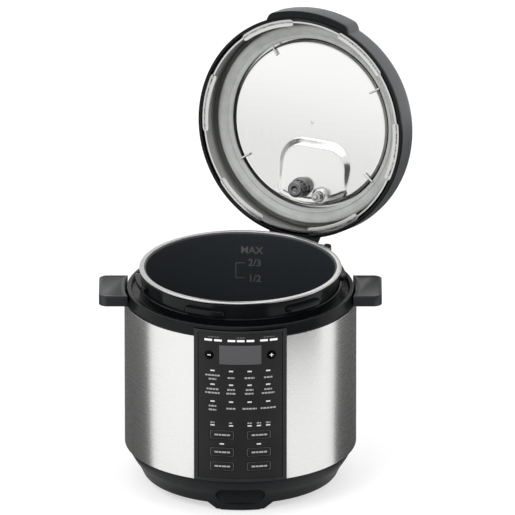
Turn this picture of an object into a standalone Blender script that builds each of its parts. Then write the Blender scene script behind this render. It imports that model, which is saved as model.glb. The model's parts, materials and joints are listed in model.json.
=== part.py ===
"""Electric pressure cooker with a hinged, turn-to-lock lid, standing with the lid swung open.

Heights are measured up from the counter. The empty named cooker lowers everything, so that the
origin is the centre of the bottom cover's underside. Angles round the cooker are measured from
the front (-Y) and grow towards +X. The lid and its hinge are drawn closed and locked, with the
hinge straight behind the pot; two empties then turn and open them.
"""

from math import asin, cos, degrees, pi, radians, sin, sqrt

import bmesh
import bpy
from mathutils import Vector

MM = 0.001

# Clearances
GAP = 0.3 * MM  # between fixed pieces that touch
KEY_GAP = 0.4 * MM  # between a key and the panel round it
LUG_PLAY = 2.0 * MM  # height between the lid's lugs and the body's
SKIRT_PLAY = 1.0 * MM  # height between the closed lid's skirt and the collar

# Inner pot
POT_R = 113.5 * MM
POT_DEPTH = 160 * MM
POT_WALL = 1.2 * MM
POT_CORNER = 9 * MM
RIM_WIDTH = 7.0 * MM
LIP_R = 1.4 * MM
POT_FLOOR_Z = 107 * MM

# Body
STAND_OFF = 6 * MM  # height of the bottom cover's underside
BODY_SPACE = 10 * MM  # from the pressure lid's wall to the outside of the shell
SHELL_WALL = 0.8 * MM
SHELL_BOTTOM_Z = 46.3 * MM
COLLAR_DROP = 25 * MM  # collar top below the pot's rim
COLLAR_HEIGHT = 14 * MM
COLLAR_WALL = 2.4 * MM
COLLAR_TAPER = 3.3 * MM
COLLAR_LIP = 5.2 * MM  # width of the flat ring on top
TROUGH_DEPTH = 6 * MM
BASE_RING_Z = 9 * MM
BASE_WALL = 2.5 * MM
BASE_LIP = 7.7 * MM  # height of the base's lip inside the shell
BASE_CURVE = (  # distance in from the body's radius, height
    (24.5 * MM, 9 * MM),
    (21 * MM, 11.5 * MM),
    (18 * MM, 19 * MM),
    (11 * MM, 29 * MM),
    (6 * MM, 37.5 * MM),
    (3 * MM, 44.6 * MM),
)
RECESS_TOP_Z = 31.5 * MM
RECESS_DEPTH = 24 * MM
RECESS_HALF_LOW = radians(10.3)
RECESS_HALF_HIGH = radians(14)
RECESS_WALL = 3 * MM
COVER_INSET = 31.9 * MM  # bottom cover's edge, in from the body's radius
COVER_WALL = 2.4 * MM
COVER_STEP = (22 * MM, 16 * MM)  # where the cover's flat middle ends and its edge begins
VENT_COUNT = 5
VENT_PITCH = 12 * MM
VENT_SIZE = (4 * MM, 34 * MM)
VENT_Y = 42 * MM
SCREW_R = 2.0 * MM
SCREW_HEAD_R = 3.8 * MM
SCREW_TIP_Z = 18 * MM
SCREW_ANGLES = (60, 180, 300)
FOOT_ANGLES = (0, 120, 240)
FOOT_HALF_LOW = radians(15.5)
FOOT_HALF_HIGH = radians(23)
PAD_HALF = radians(12)
PAD_HEIGHT = 2.7 * MM
PAD_INSETS = (29.3 * MM, 24.9 * MM)  # pad's inner and outer edge, in from the body's radius

# Heating
LINER_SPACE = 1.5 * MM  # between the pot and the liner
LINER_WALL = 0.8 * MM
HEATER_HEIGHT = 10.7 * MM
HEATER_INSET = 15.5 * MM  # heater plate's edge, in from the pot's wall
ELEMENT_INSET = 43.5 * MM
ELEMENT_TUBE_R = 4.5 * MM
SENSOR_R = 13.5 * MM
SENSOR_HEIGHT = 12.7 * MM
SENSOR_SPRING_R = 8 * MM
SENSOR_CUP_R = 24 * MM
SENSOR_CUP_DEPTH = 19 * MM
SENSOR_CUP_WALL = 2 * MM

# Locking flange and its lugs
NECK_WALL = 3.0 * MM
NECK_INSET = 1.5 * MM  # neck's outside in from the rim's edge
FLANGE_FOOT = 5 * MM  # width of the flange's foot under the collar
FLANGE_FOOT_WALL = 3 * MM
LUG_COUNT = 6
LUG_SPACE = 1.0 * MM  # between the body's lugs and the lid's wall
LUG_OVERLAP = 3.0 * MM
BODY_LUG_HEIGHT = 7.0 * MM
BODY_LUG_DROP = 10 * MM  # lug tops below the pot's rim
BODY_LUG_HALF = radians(12)
BODY_LUG_START = radians(39)
LID_LUG_HALF = radians(16)
LID_LUG_HEIGHT = 3.0 * MM
LID_LUG_START = radians(35)

# Handles
HANDLE_REACH = 30 * MM
HANDLE_DEPTH = 69 * MM
HANDLE_HEIGHT = 13 * MM
HANDLE_CORNER = 10 * MM

# Control panel
PANEL_WIDTH = 110 * MM
PANEL_BORDER = 5 * MM
PANEL_PROUD = 1.4 * MM
PANEL_TOP_DROP = 4 * MM  # panel top below the collar's
PANEL_REACH = 4 * MM  # depth of the panel frame inside the shell
FACE_WALL = 1.0 * MM
FACE_SINK = 0.4 * MM
DISPLAY_WIDTH = 50 * MM
DISPLAY_HEIGHT = 24 * MM
DISPLAY_DROP = 30 * MM  # display centre below the panel's top
ROUND_KEY_R = 5.3 * MM
ROUND_KEY_X = 37 * MM
ROUND_KEY_DROP = 31 * MM
KEY_WIDTH = 29.3 * MM
KEY_HEIGHT = 11.5 * MM
KEY_CORNER = 2.5 * MM
KEY_X = 22 * MM
KEY_RISES = (60 * MM, 38 * MM, 20 * MM)  # key centres above the shell's lower edge
KEY_NAMES = ("upper", "middle", "lower")
KEY_DEPTH = 3.6 * MM

# Lid
LID_SPACE = 7.5 * MM  # from the pot's rim to the outside of the pressure lid's wall
LID_WALL = 2.0 * MM
LID_LUG_BRIM = 2.5 * MM
SKIRT_SPACE = 6.8 * MM  # from the pressure lid's wall to the outside of the skirt
SKIRT_WALL = 2.6 * MM
SKIRT_HEIGHT = 34 * MM
LID_HEIGHT = 50 * MM
COVER_RIM_HEIGHT = 3 * MM
TAB_REACH = 6.7 * MM
TAB_HALF_ROOT = radians(24)
TAB_HALF_TIP = radians(20)
PLATE_GAP = 25.4 * MM  # pressure lid's inside wall to the inner plate's edge
PLATE_DOME = 10 * MM
PLATE_WALL = 1.0 * MM
PLATE_RISE = 6 * MM  # inner plate's edge above the pot's rim
BOSS_X = 9.5 * MM
BOSS_HALF_BASE = 47 * MM
BOSS_HALF_FACE = 39 * MM
BOSS_START = 19 * MM
BOSS_RISE = 3.5 * MM  # boss face above the pot's rim
PIPE_X = -4.9 * MM
PIPE_Y = 78.8 * MM
PIPE_R = 5 * MM
PIPE_BORE_R = 2.2 * MM
FLOAT_X = 22.1 * MM
FLOAT_Y = 84 * MM
FLOAT_R = 2.8 * MM
FLOAT_TRAVEL = 6 * MM
FLOAT_SEAT_R = 9.9 * MM
FLOAT_SEAT_HEIGHT = 7 * MM
SHIELD_R = 10 * MM
SHIELD_BASE_R = 12.5 * MM
SHIELD_HEIGHT = 18 * MM
VALVE_R = 14 * MM
VALVE_HEIGHT = 17 * MM
CLIP_ANGLES = (-33, 57, 123, 237)
CLIP_WIDTH = 2.4 * MM
CLIP_LENGTH = 15 * MM
CLIP_HEIGHT = 1.8 * MM

# Lid hinge
LID_OPEN = radians(99.3)
LID_TURN = radians(26)
HINGE_OUT = 7.2 * MM  # hinge axis outside the skirt
HINGE_UP = 4.4 * MM  # hinge axis above the skirt's edge
PIN_R = 2.5 * MM
KNUCKLE_R = 6.2 * MM
SPRING_R = PIN_R + 1.7 * MM
SPRING_WIRE_R = 0.7 * MM
EAR_X = 46 * MM
EAR_WIDTH = 5 * MM
KNUCKLE_HALF = 30 * MM
CARRIAGE_HALF = radians(21)
RAIL_HEIGHT = 3.4 * MM
RIB_HEIGHT = 2.4 * MM
RIB_INSETS = (3.6 * MM, 2.4 * MM)  # the rail's guide rib, in from the body's radius
BEHIND = pi  # the angle of the cooker's back

# Condensate cup and power inlet
CUP_WIDTH = 58 * MM
CUP_DEPTH = 24 * MM
CUP_HEIGHT = 44 * MM
CUP_WALL = 1.6 * MM
CUP_DROP = 12 * MM  # cup top below the shell's top
INLET_WIDTH = 30 * MM
INLET_HEIGHT = 24 * MM
INLET_LENGTH = 21 * MM
INLET_Z = 28.5 * MM
SOCKET_SIZE = (22 * MM, 16 * MM)
SOCKET_DEPTH = 15 * MM

# Radii and heights that follow
RIM_R = POT_R + RIM_WIDTH
RIM_Z = POT_FLOOR_Z + POT_DEPTH
LID_R = RIM_R + LID_SPACE
BODY_R = LID_R + BODY_SPACE
COLLAR_TOP_Z = RIM_Z - COLLAR_DROP
SHELL_TOP_Z = COLLAR_TOP_Z - COLLAR_HEIGHT
COLLAR_TOP_R = BODY_R - COLLAR_TAPER
TROUGH_R = COLLAR_TOP_R - COLLAR_LIP
TROUGH_Z = COLLAR_TOP_Z - TROUGH_DEPTH
NECK_R = RIM_R - NECK_INSET
BODY_LUG_R = LID_R - LID_WALL - LUG_SPACE
LID_LUG_R = BODY_LUG_R - LUG_OVERLAP
BODY_LUG_TOP_Z = RIM_Z - BODY_LUG_DROP
BODY_LUG_Z = BODY_LUG_TOP_Z - BODY_LUG_HEIGHT
LID_LUG_TOP_Z = BODY_LUG_Z - LUG_PLAY
LID_LUG_Z = LID_LUG_TOP_Z - LID_LUG_HEIGHT
SKIRT_R = LID_R + SKIRT_SPACE
COVER_RIM_R = LID_R + LID_LUG_BRIM + 2 * GAP
SKIRT_Z = COLLAR_TOP_Z + SKIRT_PLAY
HINGE_R = SKIRT_R + HINGE_OUT
HINGE_Z = SKIRT_Z + HINGE_UP
PLATE_R = LID_R - LID_WALL - PLATE_GAP
PLATE_Z = RIM_Z + PLATE_RISE
BOSS_Z = RIM_Z + BOSS_RISE
PANEL_R = BODY_R + PANEL_PROUD
PANEL_TOP_Z = COLLAR_TOP_Z - PANEL_TOP_DROP
FACE_R = PANEL_R - FACE_SINK
CUT_R = PANEL_R + 9 * MM  # how far out the panel's cutters reach
FACE_LOW_Z = SHELL_BOTTOM_Z + 4 * MM
FACE_HIGH_Z = PANEL_TOP_Z - 3 * MM
ROUND_KEY_Z = PANEL_TOP_Z - ROUND_KEY_DROP
DISPLAY_LOW_Z = PANEL_TOP_Z - DISPLAY_DROP - DISPLAY_HEIGHT / 2
DISPLAY_HIGH_Z = DISPLAY_LOW_Z + DISPLAY_HEIGHT
BASE_INNER_R = BODY_R - 42 * MM
COVER_R = BODY_R - COVER_INSET
PAD_R = tuple(BODY_R - inset for inset in PAD_INSETS)
SCREW_RING = BASE_INNER_R + 5.5 * MM
NOTCH_HALF = CARRIAGE_HALF + radians(2.5)
NOTCH_R = TROUGH_R + COLLAR_WALL + 0.4 * MM
NOTCH_Z = SHELL_TOP_Z + 1.9 * MM
RAIL_TOP_Z = NOTCH_Z + RAIL_HEIGHT
RIB_TOP_Z = RAIL_TOP_Z + RIB_HEIGHT
RIB_R = tuple(BODY_R - inset for inset in RIB_INSETS)
CARRIAGE_TOP_Z = COLLAR_TOP_Z - 2 * MM
LINER_R = POT_R + LINER_SPACE
HEATER_TOP_Z = POT_FLOOR_Z - GAP
HEATER_R = POT_R - HEATER_INSET
ELEMENT_R = POT_R - ELEMENT_INSET
HEATER_LOW_Z = HEATER_TOP_Z - HEATER_HEIGHT
SENSOR_CUP_Z = HEATER_LOW_Z - SENSOR_CUP_DEPTH
LID_TOP_Z = SKIRT_Z + LID_HEIGHT
PIPE_TOP_Z = LID_TOP_Z + 9 * MM
PRESSURE_LID_TOP_Z = LID_TOP_Z - SKIRT_WALL - 1.9 * MM
FLANGE_FOOT_Z = TROUGH_Z - COLLAR_WALL - GAP
FLOAT_STOP_Z = PRESSURE_LID_TOP_Z - 2.4 * MM  # pressure lid's outside beside the float

SEGMENTS = 40
COARSE_STEP = radians(7.5)
FINE_STEP = radians(3.5)  # for what slides round the body


# ---------------------------------------------------------------- scene and small helpers


def clear_scene():
    for obj in list(bpy.data.objects):
        bpy.data.objects.remove(obj, do_unlink=True)


def material(name, color, roughness, metallic=0.0):
    made = bpy.data.materials.new(name)
    made.use_nodes = True
    shader = made.node_tree.nodes["Principled BSDF"]
    shader.inputs["Base Color"].default_value = (*color, 1)
    shader.inputs["Roughness"].default_value = roughness
    shader.inputs["Metallic"].default_value = metallic
    made.diffuse_color = (*color, 1)
    return made


def empty(name, location=(0, 0, 0), rotation=(0, 0, 0), parent=None):
    made = bpy.data.objects.new(name, None)
    made.location = location
    made.rotation_euler = rotation
    made.parent = parent
    bpy.context.collection.objects.link(made)
    return made


def finish(name, bm, parent, color=None, location=(0, 0, 0), rotation=(0, 0, 0)):
    """Turns a bmesh into a named object, shaded smooth but for its sharp edges."""
    bmesh.ops.remove_doubles(bm, verts=bm.verts, dist=1e-6)
    bmesh.ops.recalc_face_normals(bm, faces=bm.faces)
    mesh = bpy.data.meshes.new(name)
    bm.to_mesh(mesh)
    bm.free()
    mesh.shade_smooth()
    mesh.set_sharp_from_angle(angle=radians(32))
    if color:
        mesh.materials.append(color)
    obj = bpy.data.objects.new(name, mesh)
    obj.location = location
    obj.rotation_euler = rotation
    obj.parent = parent
    bpy.context.collection.objects.link(obj)
    return obj


def boolean(target, tool, operation="DIFFERENCE"):
    """Cuts or joins a tool, which stays out of the render."""
    modifier = target.modifiers.new(tool.name, "BOOLEAN")
    modifier.operation = operation
    modifier.solver = "EXACT"
    modifier.object = tool
    tool.hide_render = True
    tool.display_type = "WIRE"


def polar(r, angle, z):
    return Vector((r * sin(angle), -r * cos(angle), z))


def arc(center, r, start, end, steps):
    """Points on a circle in a 2-D plane, angles in degrees."""
    turns = [radians(start + (end - start) * i / steps) for i in range(steps + 1)]
    return [(center[0] + r * cos(t), center[1] + r * sin(t)) for t in turns]


def rounded_rectangle(width, height, r, steps=3):
    x = width / 2 - r
    y = height / 2 - r
    corners = (((x, y), 0), ((-x, y), 90), ((-x, -y), 180), ((x, -y), 270))
    return [point for center, turn in corners for point in arc(center, r, turn, turn + 90, steps)]


# ---------------------------------------------------------------- shapes


def add_loft(bm, rings, closed_path=False):
    """Joins closed rings of equal length, with a cap on each open end."""
    rows = [[bm.verts.new(point) for point in ring] for ring in rings]
    pairs = list(zip(rows, rows[1:]))
    if closed_path:
        pairs.append((rows[-1], rows[0]))
    for here, there in pairs:
        for i in range(len(here)):
            j = (i + 1) % len(here)
            bm.faces.new((here[i], here[j], there[j], there[i]))
    if not closed_path:
        bm.faces.new(rows[0])
        bm.faces.new(rows[-1])


def turned(name, profile, parent, color=None, segments=SEGMENTS, **place):
    """Spins a profile of (radius, height) points about Z."""
    bm = bmesh.new()
    verts = [bm.verts.new((r, 0, z)) for r, z in profile]
    on_axis = profile[0][0] == 0 and profile[-1][0] == 0
    following = verts[1:] if on_axis else verts[1:] + verts[:1]
    edges = [bm.edges.new(pair) for pair in zip(verts, following)]
    full = {"cent": (0, 0, 0), "axis": (0, 0, 1), "angle": 2 * pi, "use_merge": True}
    bmesh.ops.spin(bm, geom=verts + edges, steps=segments, **full)
    return finish(name, bm, parent, color, **place)


def sector_rings(profile, start, end, step=COARSE_STEP):
    steps = max(1, round((end - start) / step))
    turns = [start + (end - start) * i / steps for i in range(steps + 1)]
    return [[polar(r, turn, z) for r, z in profile] for turn in turns]


def sector(name, profile, start, end, parent, color=None, step=COARSE_STEP, **place):
    """A profile of (radius, height) points swept round the body between two angles."""
    bm = bmesh.new()
    add_loft(bm, sector_rings(profile, start, end, step))
    return finish(name, bm, parent, color, **place)


def sectors(name, profile, half, middles, parent, **place):
    """Separate equal sectors in one object, for a Boolean."""
    bm = bmesh.new()
    for middle in middles:
        add_loft(bm, sector_rings(profile, middle - half, middle + half))
    return finish(name, bm, parent, **place)


def tapered_sector(name, profile, middles, half_of, parent, color=None, **place):
    """Sectors whose half angle depends on the profile point, as half_of(r, z) says."""
    bm = bmesh.new()
    steps = 4
    for middle in middles:
        shares = [2 * i / steps - 1 for i in range(steps + 1)]
        add_loft(bm, [[polar(r, middle + s * half_of(r, z), z) for r, z in profile] for s in shares])
    bmesh.ops.triangulate(bm, faces=bm.faces)
    return finish(name, bm, parent, color, **place)


def rectangle(r0, r1, z0, z1):
    return [(r0, z0), (r1, z0), (r1, z1), (r0, z1)]


def prism(name, outline, low, high, parent, color=None, along="Z", **place):
    """Extrudes a 2-D outline along an axis; along Y the outline is (x, z), along X it is (y, z)."""
    layouts = {
        "Z": lambda a, b, c: (a, b, c),
        "Y": lambda a, b, c: (a, c, b),
        "X": lambda a, b, c: (c, a, b),
    }
    put = layouts[along]
    bm = bmesh.new()
    add_loft(bm, [[put(a, b, c) for a, b in outline] for c in (low, high)])
    return finish(name, bm, parent, color, **place)


def box(name, low, high, parent, color=None, **place):
    outline = [(low[0], low[1]), (high[0], low[1]), (high[0], high[1]), (low[0], high[1])]
    return prism(name, outline, low[2], high[2], parent, color, **place)


def circle(r, steps, center=(0, 0)):
    return arc(center, r, 0, 360 - 360 / steps, steps - 1)


def cylinder(name, r, low, high, parent, color=None, along="Z", center=(0, 0), steps=24, **place):
    return prism(name, circle(r, steps, center), low, high, parent, color, along, **place)


def helix(name, coil_r, wire_r, turns, low, high, parent, color, along="Z", **place):
    """A round wire wound about an axis, with flat ends."""
    per_turn = 10
    sides = 4
    bm = bmesh.new()
    rings = []
    for i in range(turns * per_turn + 1):
        turn = 2 * pi * i / per_turn
        height = low + wire_r + (high - low - 2 * wire_r) * i / (turns * per_turn)
        out = Vector((cos(turn), sin(turn), 0))
        ring = []
        for k in range(sides):
            side = 2 * pi * k / sides
            ring.append(out * (coil_r + wire_r * cos(side)) + Vector((0, 0, height + wire_r * sin(side))))
        rings.append([Vector((p.z, p.x, p.y)) for p in ring] if along == "X" else ring)
    add_loft(bm, rings)
    return finish(name, bm, parent, color, **place)


def on_panel(x, r=PANEL_R):
    """The angle round the body of a point x to the side of the panel's middle."""
    return asin(x / r)


# ---------------------------------------------------------------- base


def foot_half(r, z):
    share = (z - PAD_HEIGHT / 2) / BASE_RING_Z
    return FOOT_HALF_LOW + (FOOT_HALF_HIGH - FOOT_HALF_LOW) * min(1, max(0, share))


def recess_half(r, z):
    """The front recess is wider at its top than at its foot."""
    share = (z - BASE_RING_Z) / (RECESS_TOP_Z - BASE_RING_Z)
    return RECESS_HALF_LOW + (RECESS_HALF_HIGH - RECESS_HALF_LOW) * share


def base_profile():
    outer = [(BODY_R - inset, z) for inset, z in BASE_CURVE]
    lip_r = BODY_R - SHELL_WALL - GAP
    lip_top = SHELL_BOTTOM_Z + BASE_LIP
    lip = [
        (BODY_R - 3 * MM, SHELL_BOTTOM_Z - 0.6 * MM),
        (lip_r, SHELL_BOTTOM_Z + GAP),
        (lip_r, lip_top),
        (lip_r - BASE_WALL, lip_top),
        (lip_r - BASE_WALL, SHELL_BOTTOM_Z + BASE_WALL),
    ]
    inner = [(r - BASE_WALL, z + 0.9 * MM) for r, z in reversed(outer[2:5])]
    floor_z = BASE_RING_Z + COVER_WALL + GAP
    floor = [
        (outer[1][0] - BASE_WALL, floor_z + BASE_WALL),
        (BASE_INNER_R, floor_z + BASE_WALL),
        (BASE_INNER_R, floor_z),
        (COVER_R + GAP, floor_z),
        (COVER_R + GAP, BASE_RING_Z),
    ]
    return outer + lip + inner + floor


def add_feet(base, cooker):
    """Three lobes under the base's edge, each with a pocket for its rubber pad."""
    inner_r = COVER_R + 1.2 * MM
    outer_r = (BODY_R - 23.5 * MM, BODY_R - 21.8 * MM)
    foot_low = PAD_HEIGHT / 2
    root = BASE_RING_Z + 2 * MM
    foot = [(inner_r, foot_low), (outer_r[0], foot_low), (outer_r[1], BASE_RING_Z), (outer_r[1], root)]
    foot.append((inner_r, root))
    middles = [radians(turn) for turn in FOOT_ANGLES]
    boolean(base, tapered_sector("feet_tool", foot, middles, foot_half, cooker), "UNION")
    pad_pocket = rectangle(PAD_R[0] - GAP, PAD_R[1] + GAP, -5 * MM, PAD_HEIGHT + GAP)
    boolean(base, sectors("pad_pockets", pad_pocket, PAD_HALF + GAP / PAD_R[0], middles, cooker))


def add_recess(base, cooker):
    """A finger recess at the front, with its own back wall inside the base."""
    back_r = BODY_R - RECESS_DEPTH
    inner_r = back_r - RECESS_WALL
    curve = [(BODY_R - inset - 0.8 * MM, z + 0.4 * MM) for inset, z in BASE_CURVE[1:4]]
    roof_z = RECESS_TOP_Z + 3.5 * MM
    block = [(inner_r, curve[0][1])] + curve + [(BODY_R - 8.5 * MM, roof_z), (inner_r, roof_z)]
    half = RECESS_HALF_HIGH + radians(3.5)
    boolean(base, sector("recess_back", block, -half, half, cooker), "UNION")
    recess = rectangle(back_r, BODY_R + 5 * MM, BASE_RING_Z + BASE_WALL, RECESS_TOP_Z)
    boolean(base, tapered_sector("recess_tool", recess, [0], recess_half, cooker))


def make_base(cooker, black):
    base = turned("base_housing", base_profile(), cooker, black)
    add_feet(base, cooker)
    add_recess(base, cooker)
    return base


def cover_profile():
    plateau_r, step_r = (COVER_R - inset for inset in COVER_STEP)
    top = BASE_RING_Z + COVER_WALL
    return [
        (0, STAND_OFF),
        (plateau_r, STAND_OFF),
        (step_r, BASE_RING_Z),
        (COVER_R, BASE_RING_Z),
        (COVER_R, top),
        (step_r - 0.7 * MM, top),
        (plateau_r - 0.7 * MM, STAND_OFF + COVER_WALL),
        (0, STAND_OFF + COVER_WALL),
    ]


def make_bottom_cover(cooker, base, grey, steel):
    cover = turned("bottom_cover", cover_profile(), cooker, grey)
    slots = bmesh.new()
    for row in range(VENT_COUNT):
        x = (row - (VENT_COUNT - 1) / 2) * VENT_PITCH
        outline = [(x + a, VENT_Y + b) for a, b in rounded_rectangle(*VENT_SIZE, 1.9 * MM, 1)]
        add_loft(slots, [[(a, b, z) for a, b in outline] for z in (0, BASE_RING_Z + 5 * MM)])
    boolean(cover, finish("vent_slots", slots, cooker))
    for number, turn in enumerate(SCREW_ANGLES, 1):
        spot = polar(SCREW_RING, radians(turn), 0)
        top = SCREW_TIP_Z + 2 * MM
        hole = cylinder(f"screw_hole_{number}", SCREW_R + GAP, 0, top, cooker, steps=12, location=spot)
        boolean(cover, hole)
        boolean(base, hole)
        head_z = BASE_RING_Z - GAP
        crown_z = head_z - 1.8 * MM
        screw = [
            (0, crown_z),
            (SCREW_HEAD_R - 0.8 * MM, crown_z),
            (SCREW_HEAD_R, head_z),
            (SCREW_R, head_z),
            (SCREW_R, SCREW_TIP_Z),
            (0, SCREW_TIP_Z),
        ]
        turned(f"base_screw_{number}", screw, cooker, steel, segments=12, location=spot)


def make_feet(cooker, rubber):
    profile = rectangle(PAD_R[0], PAD_R[1], 0, PAD_HEIGHT)
    for number, turn in enumerate(FOOT_ANGLES, 1):
        middle = radians(turn)
        sector(f"foot_pad_{number}", profile, middle - PAD_HALF, middle + PAD_HALF, cooker, rubber)


def make_power_inlet(cooker, base, black):
    """A three-pin inlet that stands out of the base's back."""
    face_y = BODY_R - 7 * MM
    back_y = face_y - INLET_LENGTH
    corner = 3 * MM
    outline = [(x, z + INLET_Z) for x, z in rounded_rectangle(INLET_WIDTH, INLET_HEIGHT, corner)]
    inlet = prism("power_inlet", outline, back_y, face_y, cooker, black, "Y")
    cavity = [(x, z + INLET_Z) for x, z in rounded_rectangle(*SOCKET_SIZE, 2 * MM, 2)]
    floor_y = face_y - SOCKET_DEPTH
    boolean(inlet, prism("inlet_cavity", cavity, floor_y, face_y + 5 * MM, cooker, along="Y"))
    pins = bmesh.new()
    for x, z in ((-6.5 * MM, -1 * MM), (0, 3 * MM), (6.5 * MM, -1 * MM)):
        blade = [(x + a, INLET_Z + z + b) for a, b in rounded_rectangle(1.8 * MM, 4 * MM, 0.4 * MM, 1)]
        add_loft(pins, [[(a, y, b) for a, b in blade] for y in (floor_y - 1 * MM, face_y - 4 * MM)])
    boolean(inlet, finish("inlet_pins", pins, cooker), "UNION")
    hole = rounded_rectangle(INLET_WIDTH + 2 * GAP, INLET_HEIGHT + 2 * GAP, corner + GAP)
    outline = [(x, z + INLET_Z) for x, z in hole]
    boolean(base, prism("inlet_hole", outline, back_y - 5 * MM, BODY_R + 5 * MM, cooker, along="Y"))


# ---------------------------------------------------------------- body


def make_shell(cooker, steel):
    profile = rectangle(BODY_R - SHELL_WALL, BODY_R, SHELL_BOTTOM_Z, SHELL_TOP_Z)
    shell = turned("outer_shell", profile, cooker, steel)
    half = on_panel(PANEL_WIDTH / 2 - PANEL_BORDER) + GAP / BODY_R
    window = rectangle(BODY_R - 9 * MM, BODY_R + 9 * MM, SHELL_BOTTOM_Z - 9 * MM, SHELL_TOP_Z + 9 * MM)
    boolean(shell, sector("shell_window", window, -half, half, cooker))


def collar_profile():
    wall = COLLAR_WALL
    low = SHELL_TOP_Z + GAP
    fillet = 0.8 * MM
    spigot_r = BODY_R - SHELL_WALL - GAP
    inner_r = NECK_R + GAP
    return [
        (BODY_R, low),
        (COLLAR_TOP_R + 0.3 * MM, COLLAR_TOP_Z - fillet),
        (COLLAR_TOP_R - fillet, COLLAR_TOP_Z),
        (TROUGH_R + fillet, COLLAR_TOP_Z),
        (TROUGH_R, COLLAR_TOP_Z - fillet),
        (TROUGH_R - 0.4 * MM, TROUGH_Z),
        (inner_r, TROUGH_Z),
        (inner_r, TROUGH_Z - wall),
        (TROUGH_R + wall, TROUGH_Z - wall),
        (TROUGH_R + wall, COLLAR_TOP_Z - wall),
        (COLLAR_TOP_R - wall + 0.6 * MM, COLLAR_TOP_Z - wall),
        (spigot_r - wall, low + 2 * MM),
        (spigot_r - wall, low - 8 * MM),
        (spigot_r, low - 8 * MM),
        (spigot_r, low),
    ]


def make_collar(cooker, black):
    collar = turned("collar", collar_profile(), cooker, black)
    half = on_panel(PANEL_WIDTH / 2) + GAP / BODY_R
    window_r = BODY_R - PANEL_REACH - 2 * GAP
    window = rectangle(window_r, BODY_R + 9 * MM, SHELL_TOP_Z - 20 * MM, PANEL_TOP_Z + GAP)
    boolean(collar, sector("collar_window", window, -half, half, cooker))
    notch = rectangle(NOTCH_R, BODY_R + 9 * MM, NOTCH_Z, COLLAR_TOP_Z + 5 * MM)
    start = BEHIND - LID_TURN - NOTCH_HALF
    boolean(collar, sector("hinge_notch", notch, start, BEHIND + NOTCH_HALF, cooker))


def make_handles(cooker, black):
    """A flat grip on each side, with its inner end curved to the body."""
    inner_r = BODY_R + GAP
    outer_x = BODY_R + HANDLE_REACH
    half = HANDLE_DEPTH / 2
    r = HANDLE_CORNER
    reach = degrees(asin(half / inner_r))
    outline = arc((outer_x - r, half - r), r, 90, 0, 4)
    outline += arc((outer_x - r, r - half), r, 0, -90, 4)
    outline += arc((0, 0), inner_r, -reach, reach, 6)
    top = COLLAR_TOP_Z
    for side, turn in (("right", 0), ("left", pi)):
        handle = prism(
            f"handle_{side}", outline, top - HANDLE_HEIGHT, top, cooker, black, rotation=(0, 0, turn)
        )
        bevel = handle.modifiers.new("edges", "BEVEL")
        bevel.width = 1.2 * MM
        bevel.segments = 2
        bevel.limit_method = "ANGLE"
        bevel.angle_limit = radians(50)


def lug_middles(start):
    return [start + 2 * pi * k / LUG_COUNT for k in range(LUG_COUNT)]


def make_flange(cooker, gloss):
    inner_r = NECK_R - NECK_WALL
    top = RIM_Z - 2 * LIP_R - GAP
    foot_z = FLANGE_FOOT_Z - FLANGE_FOOT_WALL
    profile = [
        (inner_r, foot_z),
        (NECK_R + FLANGE_FOOT, foot_z),
        (NECK_R + FLANGE_FOOT, FLANGE_FOOT_Z),
        (NECK_R, FLANGE_FOOT_Z),
        (NECK_R, top - 1 * MM),
        (NECK_R - 1 * MM, top),
        (inner_r, top),
    ]
    flange = turned("locking_flange", profile, cooker, gloss)
    lug = rectangle(NECK_R - 1.5 * MM, BODY_LUG_R, BODY_LUG_Z, BODY_LUG_TOP_Z)
    lugs = sectors("body_lugs", lug, BODY_LUG_HALF, lug_middles(BODY_LUG_START), cooker)
    boolean(flange, lugs, "UNION")


def make_liner(cooker, aluminium):
    """The wall round the pot, with a floor ring round the heater plate."""
    top = FLANGE_FOOT_Z - FLANGE_FOOT_WALL - GAP
    low = HEATER_LOW_Z + 2 * MM
    wall = rectangle(LINER_R, LINER_R + LINER_WALL, low, top)
    turned("inner_liner", wall, cooker, aluminium)
    floor = rectangle(HEATER_R + 2 * MM, LINER_R - GAP, low, low + LINER_WALL)
    turned("liner_floor", floor, cooker, aluminium)


def make_heater(cooker, aluminium, dark):
    hole_r = SENSOR_R + 1 * MM
    plate = [
        (hole_r, HEATER_LOW_Z),
        (HEATER_R, HEATER_LOW_Z),
        (HEATER_R, HEATER_TOP_Z - 3 * MM),
        (HEATER_R - 3 * MM, HEATER_TOP_Z),
        (hole_r, HEATER_TOP_Z),
    ]
    turned("heater_plate", plate, cooker, aluminium, segments=32)
    tube = circle(ELEMENT_TUBE_R, 6, (ELEMENT_R, HEATER_LOW_Z - GAP - ELEMENT_TUBE_R))
    ends_gap = radians(12)
    sector("heating_element", tube, ends_gap, 2 * pi - ends_gap, cooker, dark, radians(14))


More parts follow.
